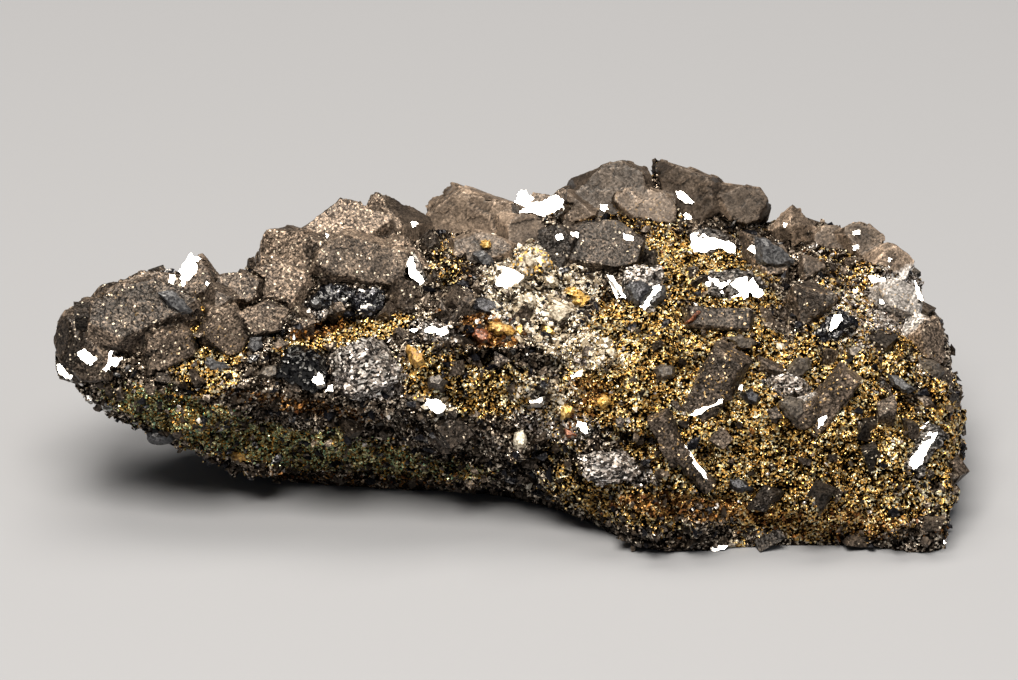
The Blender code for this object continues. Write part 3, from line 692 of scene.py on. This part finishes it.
def spinel_material():
    """Spinel: brown-grey and half metallic, with a finely mottled skin, painted shade in its hollows and
    painted highlights on its edges.
    """
    s = Shader("spinel_looks")
    soft = s.number("soft")
    grain, r, g, b = s.speckle(0.22, 0.6, 0.3)
    patch = s.noise(2.6, 4.0, rough=0.65)
    mottle = s.noise(0.34, 2.0, s.warped(0.5, 0.4), rough=0.8)
    base = s.ramp(patch, ((0.3, (0.026, 0.0192, 0.0142)), (0.5, (0.062, 0.0463, 0.0345)),
                          (0.7, (0.115, 0.0875, 0.066))))
    # painted sheen: grey-white mixed into the colour where the zone of silvery rock lies
    sheen = s.plus(s.number("silver"), s.range(patch, 0.35, 0.65, -0.25, 0.25))
    base = s.mix(s.range(sheen, 0.3, 0.7, 0.0, 0.85), base, (0.2, 0.19, 0.182))
    contrast = s.range(soft, 0, 1, 1.0, 0.36)
    spread = s.times(s.range(mottle, 0.3, 0.7, -1.0, 1.0), contrast)
    spread = s.plus(spread, s.times(s.range(r, 0, 1, -1.2, 1.2), contrast))
    factor = s.math("POWER", 2.6, spread)
    # painted shade in hollows and in the shade zones, painted highlight on edges
    hollow_shade_and_edge_light = s.range(s.number("hollow_shade_and_edge_light"), -0.6, 0.6, 0.4, 1.85)
    shade = s.range(s.number("shade"), 0, 1, 1.0, 0.3)
    factor = s.times(factor, s.times(hollow_shade_and_edge_light, shade))
    factor = s.times(factor, s.number("tone"))
    colour = s.vector("SCALE", base, scale=factor)
    # painted glints: a few grains made pale in the colour, none where the skin is soft
    sparkle = s.times(s.range(b, 0.98, 0.99), s.range(soft, 0, 0.6, 0.7, 0.0))
    colour = s.mix(sparkle, colour, (0.85, 0.74, 0.58))
    golden = s.times(s.range(s.number("gold"), 0.3, 0.9, 0, 0.4), s.range(b, 0.95, 0.97))
    colour = s.mix(golden, colour, (0.7, 0.42, 0.12))
    glitter = s.times(s.range(b, 0.9, 0.94, 0.25, 0.8), s.range(soft, 0, 1, 1, 0.2))
    normal = s.bump(mottle, s.range(soft, 0, 1, 0.55, 0.2), 0.15, s.tilted(grain, glitter))
    metallic = s.range(spread, 0.3, 1.4, 0.2, 0.6)
    specular = s.range(spread, -0.8, 0.8, 0.1, 0.5)
    return s.finish(colour, s.range(g, 0, 1, 0.35, 0.62), metallic, normal, specular)


def black_material():
    """Black glossy crystal with shell-like broken faces and silver specks."""
    s = Shader("black_spinel_looks")
    grain, r, g, _ = s.speckle(0.36, 1.0, 0.5)
    colour = s.ramp(r, ((0.0, (0.003, 0.003, 0.004)), (0.62, (0.010, 0.010, 0.013)),
                        (0.84, (0.06, 0.06, 0.068)), (0.945, (0.8, 0.77, 0.72))), "CONSTANT")
    # painted shade in hollows, painted highlight on edges
    colour = s.hollow_shaded_edge_lit(colour, -0.5, 0.8, 0.5, 1.8, s.number("tone"))
    normal = s.bump(s.noise(1.2, 3.0), 0.6, 0.4, s.tilted(grain, 0.7))
    return s.finish(colour, s.range(g, 0, 1, 0.06, 0.3), 0.3, normal)


def silvery_material():
    """Silvery brown mineral in thin wavy flakes, with dark cracks between them."""
    s = Shader("silvery_looks")
    flakes = s.vector("MULTIPLY", s.warped(0.9, 0.8), (0.85, 1.0, 1.35))
    grain = s.grains(0.3, flakes)
    r, g, _ = s.split(grain)
    colour = s.ramp(r, ((0.0, (0.003, 0.0025, 0.002)), (0.34, (0.026, 0.021, 0.017)),
                        (0.54, (0.17, 0.14, 0.12)), (0.72, (0.52, 0.45, 0.4)),
                        (0.87, (1.0, 0.94, 0.88))))
    # painted shade in hollows, painted highlight on edges
    colour = s.hollow_shaded_edge_lit(colour, -0.6, 0.4, 0.3, 1.1, s.number("tone"))
    normal = s.bump(s.noise(0.7, 3.0, flakes), 0.6, 0.25, s.tilted(grain, 1.0))
    return s.finish(colour, s.range(g, 0, 1, 0.25, 0.6), 0.5, normal)


def pale_material():
    """Pale cream mineral with gold and dark specks between its flakes."""
    s = Shader("pale_mineral_looks")
    grain, r, g, b = s.speckle(0.32, 1.0, 0.7)
    colour = s.ramp(r, ((0.0, (0.010, 0.008, 0.006)), (0.2, (0.06, 0.045, 0.03)),
                        (0.4, (0.24, 0.19, 0.13)), (0.65, (0.5, 0.43, 0.33)),
                        (0.88, (0.9, 0.85, 0.76))))
    colour = s.mix(s.range(b, 0.84, 0.87), colour, (0.75, 0.45, 0.1))
    # painted shade in hollows, lighter on edges
    colour = s.hollow_shaded_edge_lit(colour, -0.6, 0.3, 0.3, 1.0)
    return s.finish(colour, s.range(g, 0, 1, 0.3, 0.6), 0.3, s.tilted(grain, 1.0))


def bright_material():
    """A mirror-bright crystal face with a few tiny dark and golden pits."""
    s = Shader("bright_face_looks")
    pits = s.noise(0.9, 4.0, rough=0.75)
    colour = s.ramp(pits, ((0.28, (0.03, 0.025, 0.02)), (0.33, (0.5, 0.38, 0.2)), (0.37, (0.9, 0.88, 0.84)),
                           (0.6, (0.97, 0.96, 0.94))))
    grain = s.grains(0.8, s.warped(1.0, 0.6))
    return s.finish(colour, 0.3, 0.9, s.tilted(grain, 0.12))


STONE_LOOKS = {
    # kind: slot, dark, middle and light colour, metallic
    "gold": ("granular_rock", (0.1, 0.045, 0.007), (0.62, 0.34, 0.06), (1.0, 0.82, 0.38), 0.5),
    "ochre": ("granular_rock", (0.07, 0.03, 0.006), (0.32, 0.17, 0.035), (0.6, 0.38, 0.1), 0.1),
    "rust": ("granular_rock", (0.03, 0.01, 0.005), (0.12, 0.035, 0.012), (0.4, 0.15, 0.07), 0.1),
    "cream": ("pale_mineral", (0.12, 0.1, 0.07), (0.42, 0.36, 0.27), (0.8, 0.74, 0.62), 0.1),
    "grey": ("spinel", (0.014, 0.014, 0.016), (0.048, 0.049, 0.053), (0.15, 0.15, 0.155), 0.3),
    "black": ("black_spinel", (0.004, 0.004, 0.005), (0.012, 0.012, 0.015), (0.07, 0.07, 0.08), 0.5),
    "brown": ("spinel", (0.014, 0.011, 0.009), (0.05, 0.041, 0.033), (0.15, 0.125, 0.1), 0.3),
}


def stone_material(kind, dark, middle, light, metallic):
    """The material of the small crystals of one kind: mottled, finely grained."""
    s = Shader(f"{kind}_stone_looks")
    grain, r, g, _ = s.speckle(0.24, 0.6, 0.25)
    fine = s.noise(0.6, 3.0, rough=0.7)
    tone = s.plus(s.times(r, 0.5), s.times(fine, 0.5))
    colour = s.ramp(tone, ((0.22, dark), (0.48, middle), (0.78, light)))
    normal = s.bump(fine, 0.5, 0.2, s.tilted(grain, 0.35))
    return s.finish(colour, s.range(g, 0, 1, 0.3, 0.6), metallic, normal)


def fragment_material(name, stops, metallic, roughness):
    """The material of small loose pieces: each piece has its own tone, with a little grain."""
    s = Shader(name)
    grain, r, g, _ = s.speckle(0.24, 0.6, 0.3)
    tone = s.plus(s.times(s.number("tone"), 0.6), s.times(r, 0.4))
    specular = s.range(tone, 0.3, 0.8, 0.05, 0.5)
    rough = s.range(g, 0, 1, *roughness)
    return s.finish(s.ramp(tone, stops), rough, metallic, s.tilted(grain, 0.5), specular)


FRAGMENT_LEAN = 0.5  # how far small pieces lean away from the rock's normal
MANY = 4000  # pieces; above this number they are plainer
FRAGMENT_LENGTHS = (0.9, 1.5)  # beside their size
FRAGMENT_WIDTHS = (0.6, 1.0)
FRAGMENT_RISE = 0.1  # how far the middle of a small piece is above the rock, beside its size
BLOCK_RISE = -0.22
BLOCK_TONES = (0.15, 0.75)
BLOCKS = (240, (1.0, 3.0))  # how many, sizes
FRAGMENTS = {
    # name: slot, how many, sizes, thickness, colours by tone, (metallic, roughness)
    "dark_fragments": (
        "spinel", 4200, (0.4, 1.7), 0.7,
        ((0.1, (0.005, 0.004, 0.003)), (0.5, (0.034, 0.025, 0.018)), (0.8, (0.12, 0.09, 0.066)),
         (0.95, (0.55, 0.45, 0.34))), (0.3, (0.25, 0.55))),
    "black_fragments": (
        "black_spinel", 1200, (0.4, 1.9), 0.6,
        ((0.1, (0.003, 0.003, 0.004)), (0.75, (0.016, 0.016, 0.02)), (0.95, (0.3, 0.29, 0.28))),
        (0.5, (0.1, 0.4))),
    "silver_flakes": (
        "silvery", 2200, (0.25, 1.0), 0.35,
        ((0.1, (0.05, 0.043, 0.038)), (0.5, (0.24, 0.21, 0.19)), (0.9, (0.9, 0.86, 0.82))),
        (0.7, (0.2, 0.45))),
    "pale_grains": (
        "pale_mineral", 800, (0.3, 1.4), 0.6,
        ((0.1, (0.1, 0.075, 0.05)), (0.5, (0.42, 0.35, 0.25)), (0.9, (0.93, 0.88, 0.78))),
        (0.15, (0.3, 0.55))),
    "gold_grains": (
        "granular_rock", 16000, (0.16, 0.44), 0.9,
        ((0.12, (0.004, 0.002, 0.0006)), (0.36, (0.05, 0.028, 0.007)), (0.58, (0.78, 0.45, 0.11)),
         (0.84, (1.0, 0.84, 0.46))), (0.85, (0.2, 0.45))),
    "rust_grains": (
        "granular_rock", 800, (0.25, 0.9), 0.8,
        ((0.1, (0.01, 0.004, 0.002)), (0.5, (0.09, 0.032, 0.008)), (0.9, (0.5, 0.22, 0.05))),
        (0.3, (0.3, 0.55))),
    "teal_grains": (
        "granular_rock", 7000, (0.2, 0.55), 0.8,
        ((0.12, (0.006, 0.005, 0.002)), (0.34, (0.12, 0.1, 0.035)), (0.47, (0.7, 0.32, 0.05)),
         (0.62, (0.1, 0.34, 0.24)), (0.76, (0.5, 0.55, 0.24)), (0.9, (1.0, 0.95, 0.6))),
        (0.7, (0.2, 0.45))),
}


# The rock and the crystals

GRAZING = 0.15  # how far past its rim the face that the photograph shows fades out


def facing_viewer(normals):
    """1 where the surface looks towards the photograph's camera, 0 where it looks away."""
    return np.clip((normals @ -FORWARD + GRAZING) / GRAZING, 0, 1)


def paint(mesh, places, normals):
    """Stores how strongly each vertex lies in each zone, and returns the zones."""
    x, y = photo_place(places)
    front = facing_viewer(normals)
    patch = cells(jostled(places, 1, 2.0, 31), 1.6, 5)[1]
    ragged = 0.5 * fractal(places, 5.0, 40) + 0.35 * (patch[:, 0] - 0.5)
    behind = fractal(places, 16.0, 50, 4)
    zones = {}
    for name, ellipses in ZONES.items():
        seen = in_zone(x, y, ellipses, ragged)
        side, share = UNSEEN[name]
        hidden = np.clip((behind * side + share) * 4, 0, 0.8)
        zones[name] = seen * front + hidden * (1 - front)
    zones["shade"] = in_zone(x, y, SHADE, ragged) * front
    zones["soft"] = in_zone(x, y, SOFT, 0.0) * front
    for name, numbers in zones.items():
        set_numbers(mesh, name, numbers)
    return zones


def near_crystals(places, reach):
    """Which points lie within reach of a crystal's solid, or inside it."""
    tree = tree_of(node.data for name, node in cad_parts.items() if name != "matrix")
    nearest = (tree.find_nearest(Vector(place * MM), reach * MM)[0] for place in places)
    return np.array([spot is not None for spot in nearest])


def make_rock():
    """The rock, without the sockets of its crystals, broken into angular shards all over."""
    piece = remeshed("rock", list(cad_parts), ROCK_VOXEL)
    places, normals, _ = arrays_of(piece.data)
    covered = near_crystals(places, ROCK_VOXEL * 0.6)
    size, height = ROCK_LUMPS
    relief = height * fractal(places, size, 1, 3)
    relief += shards(jostled(places, 0.5, 2.0, 9), *ROCK_SHARDS, 2)
    relief += shards(places, *ROCK_CHIPS, 3)
    size, height = CREVICES
    _, _, near, far = cells(places, size, 4)
    relief += height * (far - near) - 0.08
    above = np.clip(places[:, 2] / 1.5, 0, 1)
    moved = places + normals * (relief * above)[:, None]
    moved[covered] = places[covered] - normals[covered] * BURY
    set_places(piece.data, moved)
    places, normals, edges = arrays_of(piece.data)
    zones = paint(piece.data, places, normals)
    # how far each vertex stands out, for painted shade in hollows and painted highlights on edges
    set_numbers(piece.data, "hollow_shade_and_edge_light", convexity(places, normals, edges))
    ride_on(piece, rock_material())
    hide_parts("matrix")
    return piece, (places, normals, covered, zones)


DARKEST_FACE = 0.45
LIGHTEST_FACE = 1.55
# How much lighter or darker than the others these crystals are: partly their own colour, and partly painted
# light and shade, lighter on the crest, the shoulder and the right end, darker at the left end
NODE_TONES = {
    "left_end_crystals": 0.62,
    "left_step_crystals": 0.75,
    "left_crest_crystals": 1.1,
    "middle_crest_crystals": 1.5,
    "right_crest_crystals": 0.95,
    "centre_crystal": 0.3,
    "large_bar_crystal": 0.4,
    "upper_bar_crystal": 0.4,
    "right_bar_crystal": 0.6,
    "round_crystal": 0.6,
    "lower_blades": 0.5,
    "right_shoulder_crystals": 1.5,
    "right_end_crystals": 1.6,
    "silvery_lump": 0.8,
    "upper_white_plate": 0.4,
    "lower_white_plate": 0.4,
    "white_bar_crystal": 0.45,
    "left_white_bar": 0.5,
    "black_lens_crystal": 0.18,
    "slanted_bar_crystal": 0.7,
}

CRYSTAL_LOOKS = {
    "silvery": ("silver_crystal", "silvery_lump", "lower_silvery_lump", "pale_flake",
                "white_bar_crystal", "upper_white_plate", "lower_white_plate", "left_white_bar"),
    "black_spinel": ("black_band_crystals", "black_lens_crystal", "slanted_bar_crystal"),
    "pale_mineral": ("pale_cluster",),
}


def averaged(numbers, edges, times):
    """Numbers on vertices, each averaged with its neighbours that many times."""
    for _ in range(times):
        total = numbers.copy()
        count = np.ones(len(numbers))
        add_neighbours(total, count, numbers, edges)
        numbers = total / count
    return numbers


def crystal_relief(places, normals, edges, kind):
    """How a crystal's faces differ from flat: chipped edges, low steps and a fine roughness."""
    rim = np.clip(averaged(convexity(places, normals, edges), edges, 2) * 3, 0, 1)
    chip = cells(jostled(places, 0.4, 1.5, 19), 1.4, 20)[1]
    relief = -rim * CHIP * np.clip(chip[:, 0] * 3 - 2, 0, 1)
    relief += shards(jostled(places, 0.6, 3.0, 16), *GROWTH_STEPS, 22)
    broken = np.clip(fractal(places, 5.0, 17) * 6 - 1.3, 0, 1)
    relief += broken * shards(jostled(places, 0.5, 2.0, 18), *BROKEN_STEPS, 23)
    relief += broken * shards(places, *BROKEN_CHIPS, 24)
    size, height = CRYSTAL_SKIN
    relief += height * fractal(places, size, 25)
    if kind in ("silvery", "pale_mineral"):
        relief += shards(places, *SILVERY_FLAKES, 26)
    if kind == "black_spinel":
        relief += shards(places, *BLACK_SHELLS, 27)
    return relief


def facets_at(node, places):
    """The direction of the solid's flat face that is nearest to each place."""
    tree = tree_of([node.data])
    return np.array([tree.find_nearest(Vector(place * MM))[1] for place in places])


def flatten_shading(mesh, normals, facing):
    """Turns the normals that a mesh is shaded with towards the flat faces of its solid."""
    turned = normals * (1 - FLATNESS) + facing * FLATNESS
    turned /= np.linalg.norm(turned, axis=1)[:, None]
    mesh.normals_split_custom_set_from_vertices(turned.tolist())


def make_crystals(spinel):
    """Every crystal node, with a rough skin, low growth steps and chipped edges."""
    materials = {
        "spinel": spinel,
        "silvery": silvery_material(),
        "black_spinel": black_material(),
        "pale_mineral": pale_material(),
    }
    kinds = {name: kind for kind, names in CRYSTAL_LOOKS.items() for name in names}
    pieces = []
    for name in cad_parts:
        if name == "matrix":
            continue
        kind = kinds.get(name, "spinel")
        piece = remeshed(f"{name}_looks", [name], CRYSTAL_VOXEL)
        places, normals, edges = arrays_of(piece.data)
        relief = crystal_relief(places, normals, edges, kind)
        set_places(piece.data, places + normals * relief[:, None])
        places, normals, edges = arrays_of(piece.data)
        paint(piece.data, places, normals)
        facing = facets_at(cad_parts[name], places)
        chance = hashed(np.round(facing * 12), 70, 1)[:, 0]  # one for each flat face
        tone = DARKEST_FACE + chance * (LIGHTEST_FACE - DARKEST_FACE)
        set_numbers(piece.data, "tone", tone * NODE_TONES.get(name, 1.0))
        # how far each vertex stands out, for painted shade in hollows and painted highlights on edges
        set_numbers(piece.data, "hollow_shade_and_edge_light", convexity(places, normals, edges))
        if kind == "spinel":
            flatten_shading(piece.data, normals, facing)
        ride_on(piece, materials[kind])
        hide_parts(name)
        pieces.append(piece)
    return pieces


# Faces and small crystals that the photograph shows one by one

def photo_ray(x, y):
    """The direction in which the photograph's camera sees a pixel."""
    across = (x - PHOTO_SIZE[0] / 2) / PX_PER_MM
    rise = (PHOTO_SIZE[1] / 2 - y) / PX_PER_MM
    ray = FORWARD * CAMERA_DISTANCE + RIGHT * across + UP * rise
    return ray / np.linalg.norm(ray)


def seen_at(tree, x, y):
    """The point of the surface that the photograph's camera sees at a pixel."""
    hit = tree.ray_cast(Vector(EYE * MM), Vector(photo_ray(x, y)))[0]
    return None if hit is None else np.array(hit) / MM


def outline_on_plane(outline, point, facing, rng):
    """A pixel outline laid on the plane through a point, its sides made ragged."""
    corners = []
    for x, y in outline:
        ray = photo_ray(x, y)
        corners.append(EYE + ray * ((point - EYE) @ facing) / (ray @ facing))
    ragged = []
    for here, there in zip(corners, corners[1:] + corners[:1]):
        along = there - here
        across = np.cross(facing, along) / np.linalg.norm(along)
        ragged.append(here)
        for share in (0.33, 0.67):
            ragged.append(here + along * share + across * rng.normal() * RAGGED)
    return np.array(ragged)


def add_slab(shape, outline, facing, thickness, rise):
    """Adds a closed solid under the outline; with rise, a smaller upper face stands out of it."""
    middle = outline.mean(axis=0)
    rings = [outline - facing * thickness, outline]
    if rise:
        rings.append(middle + (outline - middle) * UPPER_FACE + facing * rise)
    made = [[shape.verts.new(point * MM) for point in ring] for ring in rings]
    count = len(outline)
    for lower, upper in zip(made, made[1:]):
        for i in range(count):
            j = (i + 1) % count
            shape.faces.new((lower[i], lower[j], upper[j], upper[i]))
    shape.faces.new(made[-1])
    shape.faces.new(list(reversed(made[0])))


def slab_piece(name, slabs, material, tree, rng):
    """One piece of flat or low-domed crystals: rows of outline, facing and rise."""
    shape = bmesh.new()
    for outline, facing, rise in slabs:
        point = seen_at(tree, *np.mean(outline, axis=0))
        if point is None:  # its middle is off the specimen's outline
            continue
        point = point - FORWARD * PROUD
        add_slab(shape, outline_on_plane(outline, point, facing, rng), facing, SLAB_THICKNESS, rise)
    bmesh.ops.triangulate(shape, faces=shape.faces[:], ngon_method="EAR_CLIP")
    bmesh.ops.recalc_face_normals(shape, faces=shape.faces[:])
    mesh = bpy.data.meshes.new(name)
    shape.to_mesh(mesh)
    shape.free()
    set_places(mesh, arrays_of(mesh)[0])
    ride_on(placed(name, mesh), material)


def make_bright_faces(tree):
    rng = np.random.default_rng(SEED + 1)
    slabs = []
    for outline in BRIGHT_FACES.values():
        right, up = np.array(FLASH_FACING) + rng.uniform(-FLASH_SPREAD, FLASH_SPREAD, 2)
        slabs.append((outline, direction(right, up), 0.0))
    slab_piece("bright_faces", slabs, bright_material(), tree, rng)


def make_stones(tree):
    rng = np.random.default_rng(SEED + 2)
    for kind, (slot_name, *looks) in STONE_LOOKS.items():
        slabs = []
        for rise, outline in STONES[kind]:
            facing = direction(rng.uniform(*STONE_TURN), rng.uniform(*STONE_LIFT))
            slabs.append((outline, facing, rise))
        material = stone_material(kind, *looks)
        slab_piece(f"{kind}_stones", slabs, material, tree, rng)


# Small pieces

def splinter(rng, corners, thin):
    """The corners of a small broken piece, about 1 across."""
    spots = rng.normal(size=(corners, 3))
    spots /= np.linalg.norm(spots, axis=1)[:, None] * 2
    spots[:, 2] *= thin
    return spots


def block(rng):
    """The corners of a leaning block, about 1 across, with one of its corners cut off."""
    corners = np.array(list(np.ndindex(2, 2, 2))) - 0.5
    cut = rng.uniform(0.25, 0.7, 3)
    inner = np.repeat(corners[-1:], 3, axis=0)
    inner[np.arange(3), np.arange(3)] -= cut
    leaning = np.eye(3) + rng.uniform(-0.3, 0.3, (3, 3))
    spots = np.concatenate((corners[:-1], inner)) @ leaning
    return spots + rng.uniform(-0.07, 0.07, spots.shape)


def hull_of(spots):
    """The solid that wraps the points: its corners and its triangles."""
    shape = bmesh.new()
    for spot in spots:
        shape.verts.new(spot)
    bmesh.ops.convex_hull(shape, input=shape.verts[:])
    bmesh.ops.triangulate(shape, faces=shape.faces[:])
    shape.verts.index_update()
    triangles = [[vert.index for vert in face.verts] for face in shape.faces]
    points = np.array([vert.co for vert in shape.verts])
    shape.free()
    return points, np.array(triangles)


def scatter(name, places, normals, weights, count, sizes, shapes, rng, rise=FRAGMENT_RISE,
            tones=(0, 1)):
    """One joined piece of count small solids on the rock, more of them where weights are high."""
    templates = [hull_of(spots) for spots in shapes]
    chance = weights / weights.sum()
    spots = rng.choice(len(places), size=count, p=chance)
    verts = []
    faces = []
    tone = []
    total = 0
    for spot in spots:
        points, triangles = templates[rng.integers(len(templates))]
        low, high = sizes
        size = low + (high - low) * rng.random() ** 2
        out = normals[spot] + FRAGMENT_LEAN * rng.normal(size=3)
        out /= np.linalg.norm(out)
        side = np.cross(out, rng.normal(size=3))
        side /= np.linalg.norm(side)
        turn = np.stack((side, np.cross(out, side), out))
        stretch = size * np.array((rng.uniform(*FRAGMENT_LENGTHS), rng.uniform(*FRAGMENT_WIDTHS), 1.0))
        middle = places[spot] + normals[spot] * rise * size
        verts.append((points * stretch) @ turn + middle)
        faces.append(triangles + total)
        tone.append(np.full(len(points), rng.uniform(*tones)))
        total += len(points)
    verts = np.concatenate(verts)
    faces = np.concatenate(faces)
    mesh = bpy.data.meshes.new(name)
    mesh.from_pydata(np.zeros_like(verts).tolist(), [], faces.tolist())
    set_places(mesh, verts)
    set_numbers(mesh, "tone", np.concatenate(tone))
    return placed(name, mesh)


def scatter_splinters(name, skin, weights, slot_name, count, sizes, thin, stops, looks, rng):
    """Scatters broken pieces and gives them the looks of their kind."""
    corners = 7 if count > MANY else 9
    shapes = [splinter(rng, corners, thin) for _ in range(10)]
    piece = scatter(name, *skin, weights, count, sizes, shapes, rng)
    ride_on(piece, fragment_material(f"{name}_looks", stops, *looks))


def clear_of_faces(places, margin):
    """1 where no bright face or small crystal of the photograph is near, else 0."""
    x, y = photo_place(places)
    free = np.ones(len(places))
    stones = [outline for rows in STONES.values() for _, outline in rows]
    for outline in [*BRIGHT_FACES.values(), *stones]:
        corners = np.array(outline)
        middle = corners.mean(axis=0)
        reach = np.hypot(*(corners - middle).T).max() * 0.8 + margin
        free[np.hypot(x - middle[0], y - middle[1]) < reach] = 0
    return free


def make_fragments(places, normals, covered, zones, spinel):
    """Blocks, shards, flakes and grains that lie all over the rock, by zone."""
    rng = np.random.default_rng(SEED)
    skin = (places, normals)
    bare = (~covered) & (places[:, 2] > 0.8)
    lit = bare * (1 - zones["shade"])
    gold = zones["gold"] * lit
    plain = np.clip(1 - gold, 0.12, 1) * bare

    shapes = [block(rng) for _ in range(16)]
    kept_off = np.maximum(zones["teal"], zones["shade"])
    weights = np.clip(plain, 0.3, 1) * lit * (1 - kept_off) * (normals[:, 2] > -0.1)
    weights *= clear_of_faces(places, CLEAR_OF_FACES)
    blocks = scatter("dark_blocks", *skin, weights, *BLOCKS, shapes, rng, BLOCK_RISE, BLOCK_TONES)
    ride_on(blocks, spinel)

    weights = {
        "dark_fragments": plain,
        "black_fragments": plain,
        "silver_flakes": (0.05 + zones["silver"] + 0.4 * zones["pale"]) * lit,
        "pale_grains": zones["pale"] * lit + 0.004 * lit,
        "gold_grains": gold**2 + 0.01 * lit,
        "rust_grains": zones["rust"] * lit + 0.01 * lit,
        "teal_grains": zones["teal"] * bare,
    }
    for name, share in weights.items():
        scatter_splinters(name, skin, share, *FRAGMENTS[name], rng)


# The stage

def make_floor():
    bpy.ops.mesh.primitive_plane_add(size=FLOOR_SIZE)
    floor = bpy.context.object
    floor.name = "floor"
    material = bpy.data.materials.new("floor")
    material.use_nodes = True
    shader = material.node_tree.nodes["Principled BSDF"]
    shader.inputs["Base Color"].default_value = FLOOR_COLOUR
    shader.inputs["Roughness"].default_value = FLOOR_ROUGHNESS
    floor.data.materials.append(material)


def add_light(name, towards, distance, size, energy, colour):
    """A softbox that shines on the specimen from that direction."""
    data = bpy.data.lights.new(name, "AREA")
    data.shape = "RECTANGLE"
    data.size, data.size_y = size
    data.energy = energy
    data.color = colour
    lamp = placed(name, data)
    out = Vector(direction(*towards))
    middle = Vector(FOCUS * MM)
    lamp.location = middle + out * distance
    lamp.rotation_euler = out.to_track_quat("Z", "Y").to_euler()


def make_lights():
    for name, settings in LIGHTS.items():
        add_light(name, *settings)
    world = bpy.data.worlds.new("studio")
    world.use_nodes = True
    background = world.node_tree.nodes["Background"]
    background.inputs["Color"].default_value = ROOM_COLOUR
    background.inputs["Strength"].default_value = ROOM_STRENGTH
    bpy.context.scene.world = world
    bpy.context.scene.view_settings.view_transform = "Standard"


def make_camera():
    data = bpy.data.cameras.new("camera")
    camera = placed("camera", data)
    camera.location = Vector(EYE * MM)
    camera.rotation_euler = Vector(FORWARD).to_track_quat("-Z", "Y").to_euler()
    data.sensor_width = SENSOR
    data.lens = SENSOR * CAMERA_DISTANCE / (PHOTO_SIZE[0] / PX_PER_MM)
    data.clip_start = 0.05
    data.clip_end = 20
    bpy.context.scene.camera = camera


make_camera()
make_lights()
make_floor()
spinel_looks = spinel_material()
crystals = make_crystals(spinel_looks)
rock, skin = make_rock()
surface = tree_of(piece.data for piece in [rock] + crystals)
make_bright_faces(surface)
make_stones(surface)
make_fragments(*skin, spinel_looks)
